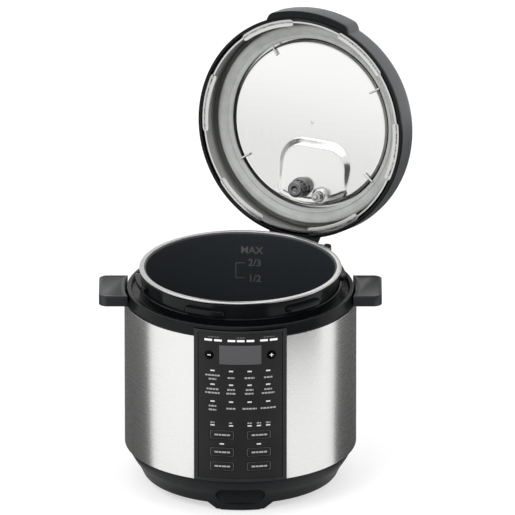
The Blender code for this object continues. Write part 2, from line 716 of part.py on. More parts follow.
def make_sensor(cooker, aluminium, steel):
    """The sprung sensor that touches the pot's floor, in a cup under the heater plate."""
    cup_top = HEATER_LOW_Z - GAP
    cup_floor = SENSOR_CUP_Z + SENSOR_CUP_WALL
    cup = [
        (0, SENSOR_CUP_Z),
        (SENSOR_CUP_R, SENSOR_CUP_Z),
        (SENSOR_CUP_R, cup_top),
        (SENSOR_CUP_R - SENSOR_CUP_WALL, cup_top),
        (SENSOR_CUP_R - SENSOR_CUP_WALL, cup_floor),
        (0, cup_floor),
    ]
    turned("sensor_cup", cup, cooker, steel, segments=24)
    head_low = HEATER_TOP_Z - SENSOR_HEIGHT
    stem_low = head_low - 9 * MM
    stem_r = 4 * MM
    sensor = [
        (0, stem_low),
        (stem_r, stem_low),
        (stem_r, head_low),
        (SENSOR_R, head_low),
        (SENSOR_R, HEATER_TOP_Z - 1 * MM),
        (SENSOR_R - 1 * MM, HEATER_TOP_Z),
        (0, HEATER_TOP_Z),
    ]
    turned("temperature_sensor", sensor, cooker, aluminium, segments=24)
    ends = (cup_floor + GAP, head_low - GAP)
    helix("sensor_spring", SENSOR_SPRING_R, SPRING_WIRE_R, 4, *ends, cooker, steel)


def make_pressure_switch(cooker, dark):
    stem_top = SENSOR_CUP_Z + 6 * MM
    switch = [
        (0, SENSOR_CUP_Z),
        (5 * MM, SENSOR_CUP_Z),
        (5 * MM, stem_top),
        (9 * MM, stem_top),
        (9 * MM, HEATER_LOW_Z - GAP),
        (0, HEATER_LOW_Z - GAP),
    ]
    spot = polar(45 * MM, radians(140), 0)
    turned("pressure_switch", switch, cooker, dark, segments=20, location=spot)


def make_boards(cooker, board_green):
    low = 24 * MM
    thick = 1.6 * MM
    corner = (60 * MM, 34 * MM, low + thick)
    main = box("main_board", (-corner[0], -46 * MM, low), corner, cooker, board_green)
    parts = bmesh.new()
    for x, y, w, d, h in ((-34, -16, 34, 30, 26), (18, -20, 18, 14, 15), (40, 10, 22, 30, 12)):
        outline = [(x * MM + a, y * MM + b) for a, b in rounded_rectangle(w * MM, d * MM, 1 * MM, 1)]
        add_loft(parts, [[(a, b, z) for a, b in outline] for z in (low + thick / 2, low + h * MM)])
    boolean(main, finish("board_parts", parts, cooker), "UNION")
    front_y = -(BODY_R - 14 * MM)
    half = 42 * MM
    low_z = SHELL_BOTTOM_Z + 14 * MM
    corner = (half, front_y + thick, SHELL_TOP_Z - 12 * MM)
    box("control_board", (-half, front_y, low_z), corner, cooker, board_green)


# ---------------------------------------------------------------- control panel


def key_spots():
    """(name, x, z) of each oblong key."""
    spots = []
    for name, rise in zip(KEY_NAMES, KEY_RISES):
        for side, sign in (("left", -1), ("right", 1)):
            spots.append((f"{name}_{side}_key", sign * KEY_X, SHELL_BOTTOM_Z + rise))
    return spots


def add_standing_outline(bm, outline, angle, z, r0, r1):
    """A flat-faced plug through the panel at an angle, with a 2-D outline facing outwards."""
    side = Vector((cos(angle), sin(angle), 0))
    rings = []
    for r in (r0, r1):
        rings.append([polar(r, angle, z + b) + side * a for a, b in outline])
    add_loft(bm, rings)


def make_panel_frame(cooker, black):
    """A curved frame over the shell, whose neck reaches through the shell's window."""
    half = on_panel(PANEL_WIDTH / 2)
    inner_half = on_panel(PANEL_WIDTH / 2 - PANEL_BORDER)
    window_low = SHELL_BOTTOM_Z + BASE_LIP + GAP
    overlay = rectangle(BODY_R + GAP, PANEL_R, SHELL_BOTTOM_Z + GAP, PANEL_TOP_Z)
    frame = sector("panel_frame", overlay, -half, half, cooker, black)
    neck = rectangle(BODY_R - PANEL_REACH, BODY_R + PANEL_PROUD / 2, window_low, PANEL_TOP_Z - GAP)
    boolean(frame, sector("panel_neck", neck, -inner_half, inner_half, cooker), "UNION")
    rebate = rectangle(FACE_R - FACE_WALL - GAP, CUT_R, FACE_LOW_Z, FACE_HIGH_Z)
    boolean(frame, sector("face_rebate", rebate, -inner_half, inner_half, cooker))
    open_half = on_panel(PANEL_WIDTH / 2 - PANEL_BORDER - 5 * MM)
    opening = rectangle(BODY_R - 20 * MM, CUT_R, window_low + 5 * MM, PANEL_TOP_Z - 8 * MM)
    boolean(frame, sector("panel_opening", opening, -open_half, open_half, cooker))


def make_panel_face(cooker, black):
    trim = GAP / BODY_R
    half = on_panel(PANEL_WIDTH / 2 - PANEL_BORDER) - trim
    profile = rectangle(FACE_R - FACE_WALL, FACE_R, FACE_LOW_Z + GAP, FACE_HIGH_Z - GAP)
    face = sector("panel_face", profile, -half, half, cooker, black)
    holes = bmesh.new()
    ends = (BODY_R - 9 * MM, CUT_R)
    key_hole = rounded_rectangle(KEY_WIDTH + 2 * KEY_GAP, KEY_HEIGHT + 2 * KEY_GAP, KEY_CORNER + KEY_GAP)
    for _, x, z in key_spots():
        add_standing_outline(holes, key_hole, on_panel(x), z, *ends)
    for x in (-ROUND_KEY_X, ROUND_KEY_X):
        round_hole = circle(ROUND_KEY_R + KEY_GAP, 16)
        add_standing_outline(holes, round_hole, on_panel(x), ROUND_KEY_Z, *ends)
    boolean(face, finish("key_holes", holes, cooker))
    display_half = on_panel(DISPLAY_WIDTH / 2) + trim
    hole = rectangle(*ends, DISPLAY_LOW_Z - GAP, DISPLAY_HIGH_Z + GAP)
    boolean(face, sector("display_hole", hole, -display_half, display_half, cooker))


def make_display(cooker, glass, dark):
    half = on_panel(DISPLAY_WIDTH / 2)
    pane = rectangle(FACE_R - FACE_WALL, FACE_R, DISPLAY_LOW_Z, DISPLAY_HIGH_Z)
    sector("display_window", pane, -half, half, cooker, glass)
    back_y = -(BODY_R - 6.5 * MM)
    border = 2 * MM
    corner = (DISPLAY_WIDTH / 2 + border, back_y + 5 * MM, DISPLAY_HIGH_Z + border)
    box("display_module", (-corner[0], back_y, DISPLAY_LOW_Z - border), corner, cooker, dark)


def make_keys(cooker, black):
    """Each key's origin lies on the line that it travels along."""
    front_r = FACE_R + 0.2 * MM
    outline = rounded_rectangle(KEY_WIDTH, KEY_HEIGHT, KEY_CORNER)
    for name, x, z in key_spots():
        angle = on_panel(x)
        place = {"location": polar(front_r, angle, z), "rotation": (0, 0, angle)}
        prism(name, outline, 0, KEY_DEPTH, cooker, black, "Y", **place)
    for name, x in (("minus_button", -ROUND_KEY_X), ("plus_button", ROUND_KEY_X)):
        angle = on_panel(x)
        place = {"location": polar(front_r, angle, ROUND_KEY_Z), "rotation": (0, 0, angle)}
        cylinder(name, ROUND_KEY_R, 0, KEY_DEPTH, cooker, black, "Y", steps=20, **place)


# ---------------------------------------------------------------- pot and condensate cup


def make_pot(cooker, coated):
    lip = (RIM_R - LIP_R, RIM_Z - LIP_R)
    under = RIM_Z - 2 * LIP_R
    outer_corner = arc((POT_R - POT_CORNER, POT_FLOOR_Z + POT_CORNER), POT_CORNER, -90, 0, 2)
    inner_r = POT_CORNER - POT_WALL
    inner_corner = arc((POT_R - POT_CORNER, POT_FLOOR_Z + POT_CORNER), inner_r, 0, -90, 2)
    profile = [(0, POT_FLOOR_Z)] + outer_corner + [(POT_R, under - 1 * MM), (POT_R + 1 * MM, under)]
    profile += arc(lip, LIP_R, -90, 90, 3)
    profile += [(POT_R + 1 * MM, RIM_Z), (POT_R - POT_WALL, RIM_Z - 2.2 * MM)]
    profile += inner_corner + [(0, POT_FLOOR_Z + POT_WALL)]
    turned("inner_pot", profile, cooker, coated)


def make_condensate_cup(cooker, clear, black):
    top = SHELL_TOP_Z - CUP_DROP
    low = top - CUP_HEIGHT
    half = radians(9)
    bracket = rectangle(BODY_R + GAP, BODY_R + 2 * MM, top - 26 * MM, top - 2 * MM)
    sector("cup_bracket", bracket, BEHIND - half, BEHIND + half, cooker, black)
    back_y = BODY_R + 2 * MM + GAP
    middle = back_y + CUP_DEPTH / 2

    def ring(inset, z):
        size = (CUP_WIDTH - 2 * inset, CUP_DEPTH - 2 * inset, 6 * MM - inset)
        return [(x, middle + y, z) for x, y in rounded_rectangle(*size)]

    bm = bmesh.new()
    rings = [ring(2 * MM, low), ring(0, low + 3 * MM), ring(0, top)]
    rings += [ring(CUP_WALL, top), ring(CUP_WALL, low + 3 * MM), ring(3.5 * MM, low + CUP_WALL)]
    add_loft(bm, rings)
    finish("condensate_cup", bm, cooker, clear)


# ---------------------------------------------------------------- hinge


def hinge_ear_outline():
    """(y, z) of an ear, from the carriage's block up round the pin."""
    low = RIB_TOP_Z + GAP
    top = CARRIAGE_TOP_Z
    root_y = HINGE_R - 15 * MM
    knuckle = arc((HINGE_R, HINGE_Z), KNUCKLE_R, -20, 200, 8)
    root = [(root_y, low), (HINGE_R + 3 * MM, low)]
    return root + knuckle + [(HINGE_R - KNUCKLE_R, top), (root_y, top)]


def make_hinge_rail(cooker, steel):
    """The fixed rail that the carriage slides on while the lid locks."""
    inner_r = NOTCH_R + GAP
    rail_r = BODY_R - 0.6 * MM
    rail_low = NOTCH_Z + GAP
    rail = [
        (inner_r, rail_low),
        (rail_r, rail_low),
        (rail_r, RAIL_TOP_Z),
        (RIB_R[1], RAIL_TOP_Z),
        (RIB_R[1], RIB_TOP_Z),
        (RIB_R[0], RIB_TOP_Z),
        (RIB_R[0], RAIL_TOP_Z),
        (inner_r, RAIL_TOP_Z),
    ]
    trim = GAP / BODY_R
    start = BEHIND - LID_TURN - NOTCH_HALF + trim
    sector("hinge_rail", rail, start, BEHIND + NOTCH_HALF - trim, cooker, steel, FINE_STEP)


def make_carriage(turn, black):
    inner_r = NOTCH_R + GAP
    outer_r = BODY_R + 1.2 * MM
    low = RAIL_TOP_Z + GAP
    groove_z = RIB_TOP_Z + GAP
    block = [
        (inner_r, low),
        (RIB_R[0] - GAP, low),
        (RIB_R[0] - GAP, groove_z),
        (RIB_R[1] + GAP, groove_z),
        (RIB_R[1] + GAP, low),
        (outer_r, low),
        (outer_r, CARRIAGE_TOP_Z),
        (inner_r, CARRIAGE_TOP_Z),
    ]
    ends = (BEHIND - CARRIAGE_HALF, BEHIND + CARRIAGE_HALF)
    carriage = sector("hinge_carriage", block, *ends, turn, black, FINE_STEP)
    ears = bmesh.new()
    for x in (-EAR_X - EAR_WIDTH / 2, EAR_X - EAR_WIDTH / 2):
        add_loft(ears, [[(x + share, y, z) for y, z in hinge_ear_outline()] for share in (0, EAR_WIDTH)])
    boolean(carriage, finish("ear_tool", ears, turn), "UNION")
    place = {"along": "X", "center": (HINGE_R, HINGE_Z)}
    reach = EAR_X + EAR_WIDTH
    boolean(carriage, cylinder("ear_bores", PIN_R + GAP, -reach, reach, turn, steps=16, **place))


def make_hinge_pin(turn, steel):
    ear_end = EAR_X + EAR_WIDTH / 2
    head_r = PIN_R + 1.5 * MM
    pin = [
        (0, -ear_end - 2 * MM),
        (head_r, -ear_end - 2 * MM),
        (head_r, -ear_end - GAP),
        (PIN_R, -ear_end - GAP),
        (PIN_R, ear_end + 2 * MM),
        (0, ear_end + 2 * MM),
    ]
    axis = {"location": (0, HINGE_R, HINGE_Z), "rotation": (0, pi / 2, 0)}
    turned("hinge_pin", pin, turn, steel, segments=16, **axis)


def make_hinge_springs(turn, steel):
    """A torsion spring on the pin between each ear and the lid's knuckle."""
    near = KNUCKLE_HALF + GAP
    far = EAR_X - EAR_WIDTH / 2 - GAP
    spot = (0, HINGE_R, HINGE_Z)
    for side, low, high in (("left", -far, -near), ("right", near, far)):
        name = f"hinge_spring_{side}"
        helix(name, SPRING_R, SPRING_WIRE_R, 4, low, high, turn, steel, "X", location=spot)


# ---------------------------------------------------------------- lid


def lid_place():
    """Lid pieces are drawn about the cooker's axis, and hang from the empty on the hinge."""
    return {"location": (0, -HINGE_R, -HINGE_Z)}


def cover_dome(wall):
    """The outer cover's line from the skirt up to the middle, moved in by a wall."""
    edge = SKIRT_Z + SKIRT_HEIGHT
    top = LID_TOP_Z
    r = SKIRT_R
    return [
        (r - wall, edge - 7 * MM),
        (r - 1.3 * MM - wall, edge),
        (r - 5 * MM - 0.8 * wall, edge + 4.5 * MM - 0.5 * wall),
        (r - 16 * MM - 0.5 * wall, top - 6.5 * MM - 0.9 * wall),
        (r - 50 * MM, top - 2.4 * MM - wall),
        (0, top - wall),
    ]


def lid_cover_profile():
    outside = list(reversed(cover_dome(0)))
    outside[0] = (0, LID_TOP_Z)
    rim_top = SKIRT_Z + COVER_RIM_HEIGHT
    rim = [(SKIRT_R, SKIRT_Z), (COVER_RIM_R, SKIRT_Z), (COVER_RIM_R, rim_top)]
    return outside + rim + [(SKIRT_R - SKIRT_WALL, rim_top)] + cover_dome(SKIRT_WALL)


def add_tab(cover, hinge):
    """The grip at the lid's front."""
    top = SKIRT_Z + SKIRT_HEIGHT + 5 * MM
    root_r = SKIRT_R - 1.5 * MM
    tip_r = SKIRT_R + TAB_REACH
    tab = [
        (root_r, SKIRT_Z),
        (tip_r, SKIRT_Z),
        (tip_r, top - 6 * MM),
        (tip_r - 5 * MM, top - 1 * MM),
        (SKIRT_R - 5 * MM, top),
    ]

    def tab_half(r, z):
        share = (r - root_r) / (tip_r - root_r)
        return TAB_HALF_ROOT + (TAB_HALF_TIP - TAB_HALF_ROOT) * min(1, max(0, share))

    boolean(cover, tapered_sector("tab_tool", tab, [0], tab_half, hinge, **lid_place()), "UNION")


def add_hinge_arm(cover, hinge):
    """The lid's knuckle and its arm, trimmed clear of the cover's hollow."""
    knuckle = arc((HINGE_R, HINGE_Z), KNUCKLE_R, -130, 90, 10)
    root_y = HINGE_R - 22 * MM
    top = SKIRT_Z + 19 * MM
    outline = [(root_y, SKIRT_Z + 0.6 * MM)] + knuckle + [(SKIRT_R - 1 * MM, top), (root_y, top)]
    place = {"along": "X", **lid_place()}
    arm = prism("hinge_arm", outline, -KNUCKLE_HALF, KNUCKLE_HALF, hinge, **place)
    boolean(cover, arm, "UNION")
    hollow_z = SKIRT_Z + COVER_RIM_HEIGHT + GAP
    top = SKIRT_Z + 25 * MM
    below = SKIRT_Z - 9 * MM
    rim_r = COVER_RIM_R - GAP
    wall_r = SKIRT_R - SKIRT_WALL - GAP
    inside = [(0, below), (rim_r, below), (rim_r, hollow_z), (wall_r, hollow_z), (wall_r, top), (0, top)]
    boolean(cover, turned("arm_trim", inside, hinge, **lid_place()))
    reach = 2 * KNUCKLE_HALF
    place["center"] = (HINGE_R, HINGE_Z)
    boolean(cover, cylinder("knuckle_bore", PIN_R + GAP, -reach, reach, hinge, steps=16, **place))


def make_lid_cover(hinge, grey):
    cover = turned("lid_cover", lid_cover_profile(), hinge, grey, **lid_place())
    add_tab(cover, hinge)
    add_hinge_arm(cover, hinge)
    return cover


def make_pressure_lid(hinge, steel):
    top = PRESSURE_LID_TOP_Z
    shoulder = SKIRT_Z + SKIRT_HEIGHT - 7 * MM

    def line(t):
        return [
            (LID_R - t, LID_LUG_Z),
            (LID_R - t, shoulder),
            (LID_R - 4 * MM - 0.8 * t, shoulder + 6.5 * MM - 0.6 * t),
            (LID_R - 24 * MM, top - 4.5 * MM - t),
            (0, top - t),
        ]

    profile = list(reversed(line(0))) + line(LID_WALL)
    lid = turned("pressure_lid", profile, hinge, steel, **lid_place())
    lug = rectangle(LID_LUG_R, LID_R + LID_LUG_BRIM, LID_LUG_Z, LID_LUG_TOP_Z)
    lugs = sectors("lid_lugs", lug, LID_LUG_HALF, lug_middles(LID_LUG_START), hinge, **lid_place())
    boolean(lid, lugs, "UNION")
    return lid


def plate_height(x, y):
    return PLATE_Z + PLATE_DOME * (1 - (x * x + y * y) / (PLATE_R * PLATE_R))


def boss_outline(half, start, end, corner, limit, steps=4):
    """The boss's outline, kept inside a circle round the lid's axis."""
    outline = rounded_rectangle(2 * half, end - start, corner, steps)
    middle = (start + end) / 2
    points = []
    for x, y in outline:
        point = Vector((x + BOSS_X, y + middle))
        points.append(point * min(1, limit / point.length))
    return points


def make_inner_plate(hinge, steel):
    """A domed sheet with a raised boss, as rings that spread from the boss to the plate's edge."""
    face = boss_outline(BOSS_HALF_FACE, BOSS_START + 9 * MM, PLATE_R - 4 * MM, 24 * MM, PLATE_R - 6 * MM)
    base = boss_outline(BOSS_HALF_BASE, BOSS_START, PLATE_R, 30 * MM, PLATE_R - 2.5 * MM)
    middle = Vector((BOSS_X, (BOSS_START + PLATE_R) / 2))
    edge = [edge_point(point, middle) for point in base]
    sheets = []
    for lift in (0, PLATE_WALL):
        small = [[*(middle + (p - middle) * 0.45), BOSS_Z + lift] for p in face]
        flat = [[*p, BOSS_Z + lift] for p in face]
        rings = [small, flat]
        for share in (0, 0.5, 1):
            spread = [p.lerp(q, share) for p, q in zip(base, edge)]
            rings.append([[p.x, p.y, plate_height(p.x, p.y) + lift] for p in spread])
        sheets.append(rings)
    bm = bmesh.new()
    add_loft(bm, sheets[0] + list(reversed(sheets[1])))
    return finish("inner_plate", bm, hinge, steel, **lid_place())


def edge_point(point, middle):
    """Where the ray from the boss's middle through a point meets the plate's edge."""
    ray = (point - middle).normalized()
    along = middle.dot(ray)
    return middle + ray * (sqrt(along * along + PLATE_R * PLATE_R - middle.length_squared) - along)


def make_seal(hinge, silicone):
    inner = PLATE_R + 0.6 * MM
    outer = RIM_R + 0.5 * MM
    low = RIM_Z + 0.4 * MM
    top = low + 8 * MM
    profile = [
        (inner, low + 4.8 * MM),
        (inner + 4.8 * MM, low + 4.8 * MM),
        (inner + 6 * MM, low),
        (outer - 0.8 * MM, low),
        (outer, low + 0.8 * MM),
        (outer - 0.8 * MM, top),
        (inner, top),
    ]
    turned("sealing_ring", profile, hinge, silicone, **lid_place())


def make_clips(hinge, steel):
    """Four bars that hold the inner plate, each laid across its edge."""
    low = PLATE_Z - CLIP_HEIGHT - 1.4 * MM
    outline = rounded_rectangle(CLIP_WIDTH, CLIP_LENGTH, 1.1 * MM, 2)
    for number, turn in enumerate(CLIP_ANGLES, 1):
        angle = radians(turn)
        spot = polar(PLATE_R - 3 * MM, angle, low) + Vector(lid_place()["location"])
        place = {"location": spot, "rotation": (0, 0, angle)}
        prism(f"ring_clip_{number}", outline, 0, CLIP_HEIGHT, hinge, steel, **place)


def bore_lid(hinge, cover, lid, plate, pipe_at, float_at):
    """Holes for the steam pipe and the float, through the sheets that each one passes."""
    window_r = FLOAT_R + 2.2 * MM
    bores = (
        ("pipe_bore", PIPE_R + GAP, SKIRT_Z, pipe_at, (cover, lid, plate)),
        ("float_bore", FLOAT_R + GAP, SKIRT_Z, float_at, (lid, plate)),
        ("float_window", window_r, FLOAT_STOP_Z, float_at, (cover,)),
    )
    for name, r, low, spot, targets in bores:
        tool = cylinder(name, r, low, LID_TOP_Z + 9 * MM, hinge, steps=16, location=spot)
        for target in targets:
            boolean(target, tool)


def make_steam_pipe(hinge, spot, steel):
    low = BOSS_Z - 9 * MM
    profile = [
        (PIPE_BORE_R, low),
        (PIPE_R, low),
        (PIPE_R, PIPE_TOP_Z - 2 * MM),
        (PIPE_R - 1 * MM, PIPE_TOP_Z),
        (PIPE_BORE_R, PIPE_TOP_Z),
    ]
    turned("steam_pipe", profile, hinge, steel, segments=16, location=spot)


def make_valve_shield(hinge, spot, dark):
    """The cap inside the lid that keeps food out of the steam pipe."""
    top = BOSS_Z - GAP
    low = top - SHIELD_HEIGHT
    bore_r = SHIELD_R - 1.4 * MM
    profile = [
        (0, low),
        (SHIELD_R - 1 * MM, low),
        (SHIELD_R, low + 1.5 * MM),
        (SHIELD_R, top - 5 * MM),
        (SHIELD_BASE_R, top - 4 * MM),
        (SHIELD_BASE_R, top),
        (bore_r, top),
        (bore_r, low + 1.6 * MM),
        (0, low + 1.6 * MM),
    ]
    turned("valve_shield", profile, hinge, dark, segments=20, location=spot)


def make_steam_valve(hinge, spot, black):
    """The knob that sits over the pipe's top, with its lever to one side."""
    low = LID_TOP_Z + 1 * MM
    top = low + VALVE_HEIGHT
    profile = [
        (0, PIPE_TOP_Z + GAP),
        (PIPE_R + GAP, PIPE_TOP_Z + GAP),
        (PIPE_R + GAP, low),
        (VALVE_R - 1 * MM, low),
        (VALVE_R, low + 2 * MM),
        (VALVE_R - 1 * MM, top - 2 * MM),
        (VALVE_R - 3 * MM, top),
        (0, top),
    ]
    valve = turned("steam_valve", profile, hinge, black, segments=20, location=spot)
    lever = [(x, y + 20 * MM) for x, y in rounded_rectangle(13 * MM, 30 * MM, 6 * MM)]
    arm = prism("valve_lever", lever, top - 8 * MM, top - 1 * MM, hinge, location=spot)
    boolean(valve, arm, "UNION")


def make_float(hinge, spot, steel, red, rubber):
    """The float that rises with the pressure, in its seat and with its seal below."""
    bore_r = FLOAT_R + GAP
    seat_low = BOSS_Z - FLOAT_SEAT_HEIGHT
    seat_top = BOSS_Z - GAP
    seat = [
        (bore_r, seat_low),
        (FLOAT_SEAT_R - 1.9 * MM, seat_low),
        (FLOAT_SEAT_R, seat_low + 3 * MM),
        (FLOAT_SEAT_R, seat_top),
        (bore_r, seat_top),
    ]
    turned("float_seat", seat, hinge, steel, segments=20, location=spot)
    shoulder = FLOAT_STOP_Z + GAP
    head_r = FLOAT_R + 1.4 * MM
    low = seat_low - FLOAT_TRAVEL - 5 * MM
    top = LID_TOP_Z - 2 * MM
    pin = [(0, low), (FLOAT_R, low), (FLOAT_R, shoulder), (head_r, shoulder), (head_r, top), (0, top)]
    turned("float_valve", pin, hinge, red, segments=16, location=spot)
    ring_top = seat_low - FLOAT_TRAVEL - 0.6 * MM
    ring = rectangle(bore_r, FLOAT_R + 2.6 * MM, ring_top - 2.4 * MM, ring_top)
    turned("float_seal", ring, hinge, rubber, segments=16, location=spot)


# ---------------------------------------------------------------- assembly


def main():
    clear_scene()
    cooker = empty("cooker", (0, 0, -STAND_OFF))
    turn = empty("lid_turn", rotation=(0, 0, -LID_TURN), parent=cooker)
    hinge = empty("lid_hinge", (0, HINGE_R, HINGE_Z), (-LID_OPEN, 0, 0), turn)

    satin_black = material("satin_black", (0.022, 0.025, 0.028), 0.42)
    gloss_black = material("gloss_black", (0.01, 0.011, 0.012), 0.15)
    panel_black = material("panel_black", (0.025, 0.025, 0.026), 0.38)
    cover_grey = material("cover_grey", (0.075, 0.08, 0.085), 0.45)
    rubber = material("rubber", (0.02, 0.02, 0.02), 0.8)
    glass = material("display_glass", (0.1, 0.1, 0.11), 0.2)
    board_green = material("board_green", (0.02, 0.09, 0.04), 0.5)
    steel = material("brushed_steel", (0.62, 0.62, 0.6), 0.28, 1.0)
    bright_steel = material("bright_steel", (0.75, 0.75, 0.73), 0.18, 1.0)
    dark_steel = material("dark_steel", (0.12, 0.12, 0.13), 0.3, 1.0)
    aluminium = material("aluminium", (0.6, 0.61, 0.62), 0.4, 1.0)
    coated = material("pot_coating", (0.03, 0.032, 0.035), 0.35)
    silicone = material("silicone", (0.42, 0.43, 0.43), 0.55)
    clear = material("clear_plastic", (0.6, 0.62, 0.64), 0.2)
    red = material("float_red", (0.5, 0.04, 0.03), 0.4)

    base = make_base(cooker, satin_black)
    make_bottom_cover(cooker, base, panel_black, steel)
    make_feet(cooker, rubber)
    make_power_inlet(cooker, base, gloss_black)
    make_shell(cooker, steel)
    make_collar(cooker, satin_black)
    make_handles(cooker, satin_black)
    make_flange(cooker, gloss_black)
    make_liner(cooker, aluminium)
    make_heater(cooker, aluminium, dark_steel)
    make_sensor(cooker, aluminium, steel)
    make_pressure_switch(cooker, dark_steel)
    make_boards(cooker, board_green)
    make_panel_frame(cooker, satin_black)
    make_panel_face(cooker, panel_black)
    make_display(cooker, glass, dark_steel)
    make_keys(cooker, panel_black)
    make_pot(cooker, coated)
    make_condensate_cup(cooker, clear, satin_black)
    make_hinge_rail(cooker, steel)
    make_carriage(turn, satin_black)
    make_hinge_pin(turn, steel)
    make_hinge_springs(turn, steel)
    cover = make_lid_cover(hinge, cover_grey)
    lid = make_pressure_lid(hinge, bright_steel)
    plate = make_inner_plate(hinge, bright_steel)
    make_seal(hinge, silicone)
    make_clips(hinge, steel)
    pipe_at = Vector((PIPE_X, PIPE_Y, 0)) + Vector(lid_place()["location"])
    float_at = Vector((FLOAT_X, FLOAT_Y, 0)) + Vector(lid_place()["location"])
    bore_lid(hinge, cover, lid, plate, pipe_at, float_at)
    make_steam_pipe(hinge, pipe_at, steel)
    make_valve_shield(hinge, pipe_at, dark_steel)
    make_steam_valve(hinge, pipe_at, satin_black)
    make_float(hinge, float_at, steel, red, rubber)


main()
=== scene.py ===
"""The looks of the electric pressure cooker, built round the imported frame.

Heights in the builders below are measured in metres in the frame of the CAD, whose origin lies
a little above the counter. Angles round the cooker start at the front (-Y) and grow towards +X.
Pieces of the lid are drawn closed and locked, with the hinge straight behind, and LID_PLACE
carries them to where the open lid stands.
"""

import json
from math import asin, cos, pi, radians, sin, sqrt

import bmesh
import bpy
from mathutils import Matrix, Vector


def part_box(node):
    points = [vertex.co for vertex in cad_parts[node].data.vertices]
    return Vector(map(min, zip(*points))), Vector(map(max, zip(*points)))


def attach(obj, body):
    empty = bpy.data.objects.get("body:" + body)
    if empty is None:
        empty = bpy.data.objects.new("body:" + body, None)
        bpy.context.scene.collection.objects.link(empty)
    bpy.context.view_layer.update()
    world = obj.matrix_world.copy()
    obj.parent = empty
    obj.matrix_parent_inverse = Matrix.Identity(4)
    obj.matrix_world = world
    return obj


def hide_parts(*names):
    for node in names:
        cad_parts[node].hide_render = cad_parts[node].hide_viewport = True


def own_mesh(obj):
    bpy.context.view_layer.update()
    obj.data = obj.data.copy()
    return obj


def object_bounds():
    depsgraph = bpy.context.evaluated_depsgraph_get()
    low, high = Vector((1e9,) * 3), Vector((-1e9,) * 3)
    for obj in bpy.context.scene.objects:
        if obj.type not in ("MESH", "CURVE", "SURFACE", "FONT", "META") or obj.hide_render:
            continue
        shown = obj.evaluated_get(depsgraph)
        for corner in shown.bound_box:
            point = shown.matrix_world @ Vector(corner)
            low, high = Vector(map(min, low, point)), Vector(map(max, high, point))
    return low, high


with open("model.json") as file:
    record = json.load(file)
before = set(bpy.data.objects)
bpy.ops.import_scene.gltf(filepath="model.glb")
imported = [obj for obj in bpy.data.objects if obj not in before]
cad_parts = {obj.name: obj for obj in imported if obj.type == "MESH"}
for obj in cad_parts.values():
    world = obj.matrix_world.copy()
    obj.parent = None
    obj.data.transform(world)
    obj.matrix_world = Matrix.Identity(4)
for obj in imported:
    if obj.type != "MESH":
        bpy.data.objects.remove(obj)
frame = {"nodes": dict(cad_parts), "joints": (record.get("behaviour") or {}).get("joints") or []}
CAD_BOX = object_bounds()

MM = 0.001
GAP = 0.3 * MM

# Sizes taken from the frame
COUNTER = CAD_BOX[0].z
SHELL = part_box("outer_shell")
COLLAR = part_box("collar")
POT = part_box("inner_pot")
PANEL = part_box("panel_frame")
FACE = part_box("panel_face")
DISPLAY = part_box("display_window")
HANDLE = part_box("handle_right")
BODY_R = SHELL[1].x
PANEL_R = -PANEL[0].y
FACE_R = -FACE[0].y
RIM_R = POT[1].x
RIM_Z = POT[1].z
COLLAR_Z = COLLAR[1].z
BAND_LOW = SHELL[0].z
BAND_HIGH = SHELL[1].z
POT_R = RIM_R - 7 * MM
COLLAR_TOP_R = BODY_R - 3.3 * MM
TROUGH_R = COLLAR_TOP_R - 5.2 * MM
TROUGH_Z = COLLAR_Z - 6 * MM
NECK_R = RIM_R - 1.5 * MM
LUG_R = NECK_R + 6 * MM

# The lid, drawn closed
LID_R = RIM_R + 7.5 * MM
SKIRT_R = LID_R + 6.4 * MM
SKIRT_Z = COLLAR_Z + 1 * MM
LID_TOP = SKIRT_Z + 50 * MM
LID_LUG_Z = SKIRT_Z + 2 * MM
HINGE_R = SKIRT_R + 7.6 * MM
HINGE_Z = SKIRT_Z + 4.4 * MM
PLATE_R = LID_R - 27.4 * MM
PLATE_Z = RIM_Z + 6 * MM
BOSS_Z = RIM_Z + 3.5 * MM
JOINTS = {joint["name"]: joint for joint in frame["joints"]}

FINE = 160  # segments of a large turned piece
LUGS = 6
KEY_X = 22 * MM  # from the panel's middle line to a key's
BUTTON_X = 37 * MM
SKIN = 0.05 * MM  # how deep a raised print starts below its surface


# ---- placing


def turn_about(point, axis, angle):
    point = Vector(point)
    return Matrix.Translation(point) @ Matrix.Rotation(angle, 4, Vector(axis)) @ Matrix.Translation(-point)


def lid_place():
    """From the closed, locked lid to the open one, by undoing the two joints."""
    hinge = JOINTS["lid_hinge"]
    turn = JOINTS["lid_turn"]
    closed = turn_about(hinge["pos_m"], hinge["axis"], -radians(hinge["range_deg"][0]))
    return closed @ Matrix.Rotation(-radians(turn["range_deg"][1]), 4, "Z")


LID_PLACE = lid_place()


def polar(r, angle, z):
    return Vector((r * sin(angle), -r * cos(angle), z))


def on_panel(x, r=None):
    return asin(x / (r or PANEL_R))


# ---- outlines


def arc(center, r, start, end, steps):
    turns = [radians(start + (end - start) * i / steps) for i in range(steps + 1)]
    return [(center[0] + r * cos(t), center[1] + r * sin(t)) for t in turns]


def circle(r, steps, center=(0, 0)):
    return arc(center, r, 0, 360 - 360 / steps, steps - 1)


def rounded_rectangle(width, height, r, steps=6):
    x = width / 2 - r
    y = height / 2 - r
    corners = (((x, y), 0), ((-x, y), 90), ((-x, -y), 180), ((x, -y), 270))
    return [point for center, turn in corners for point in arc(center, r, turn, turn + 90, steps)]


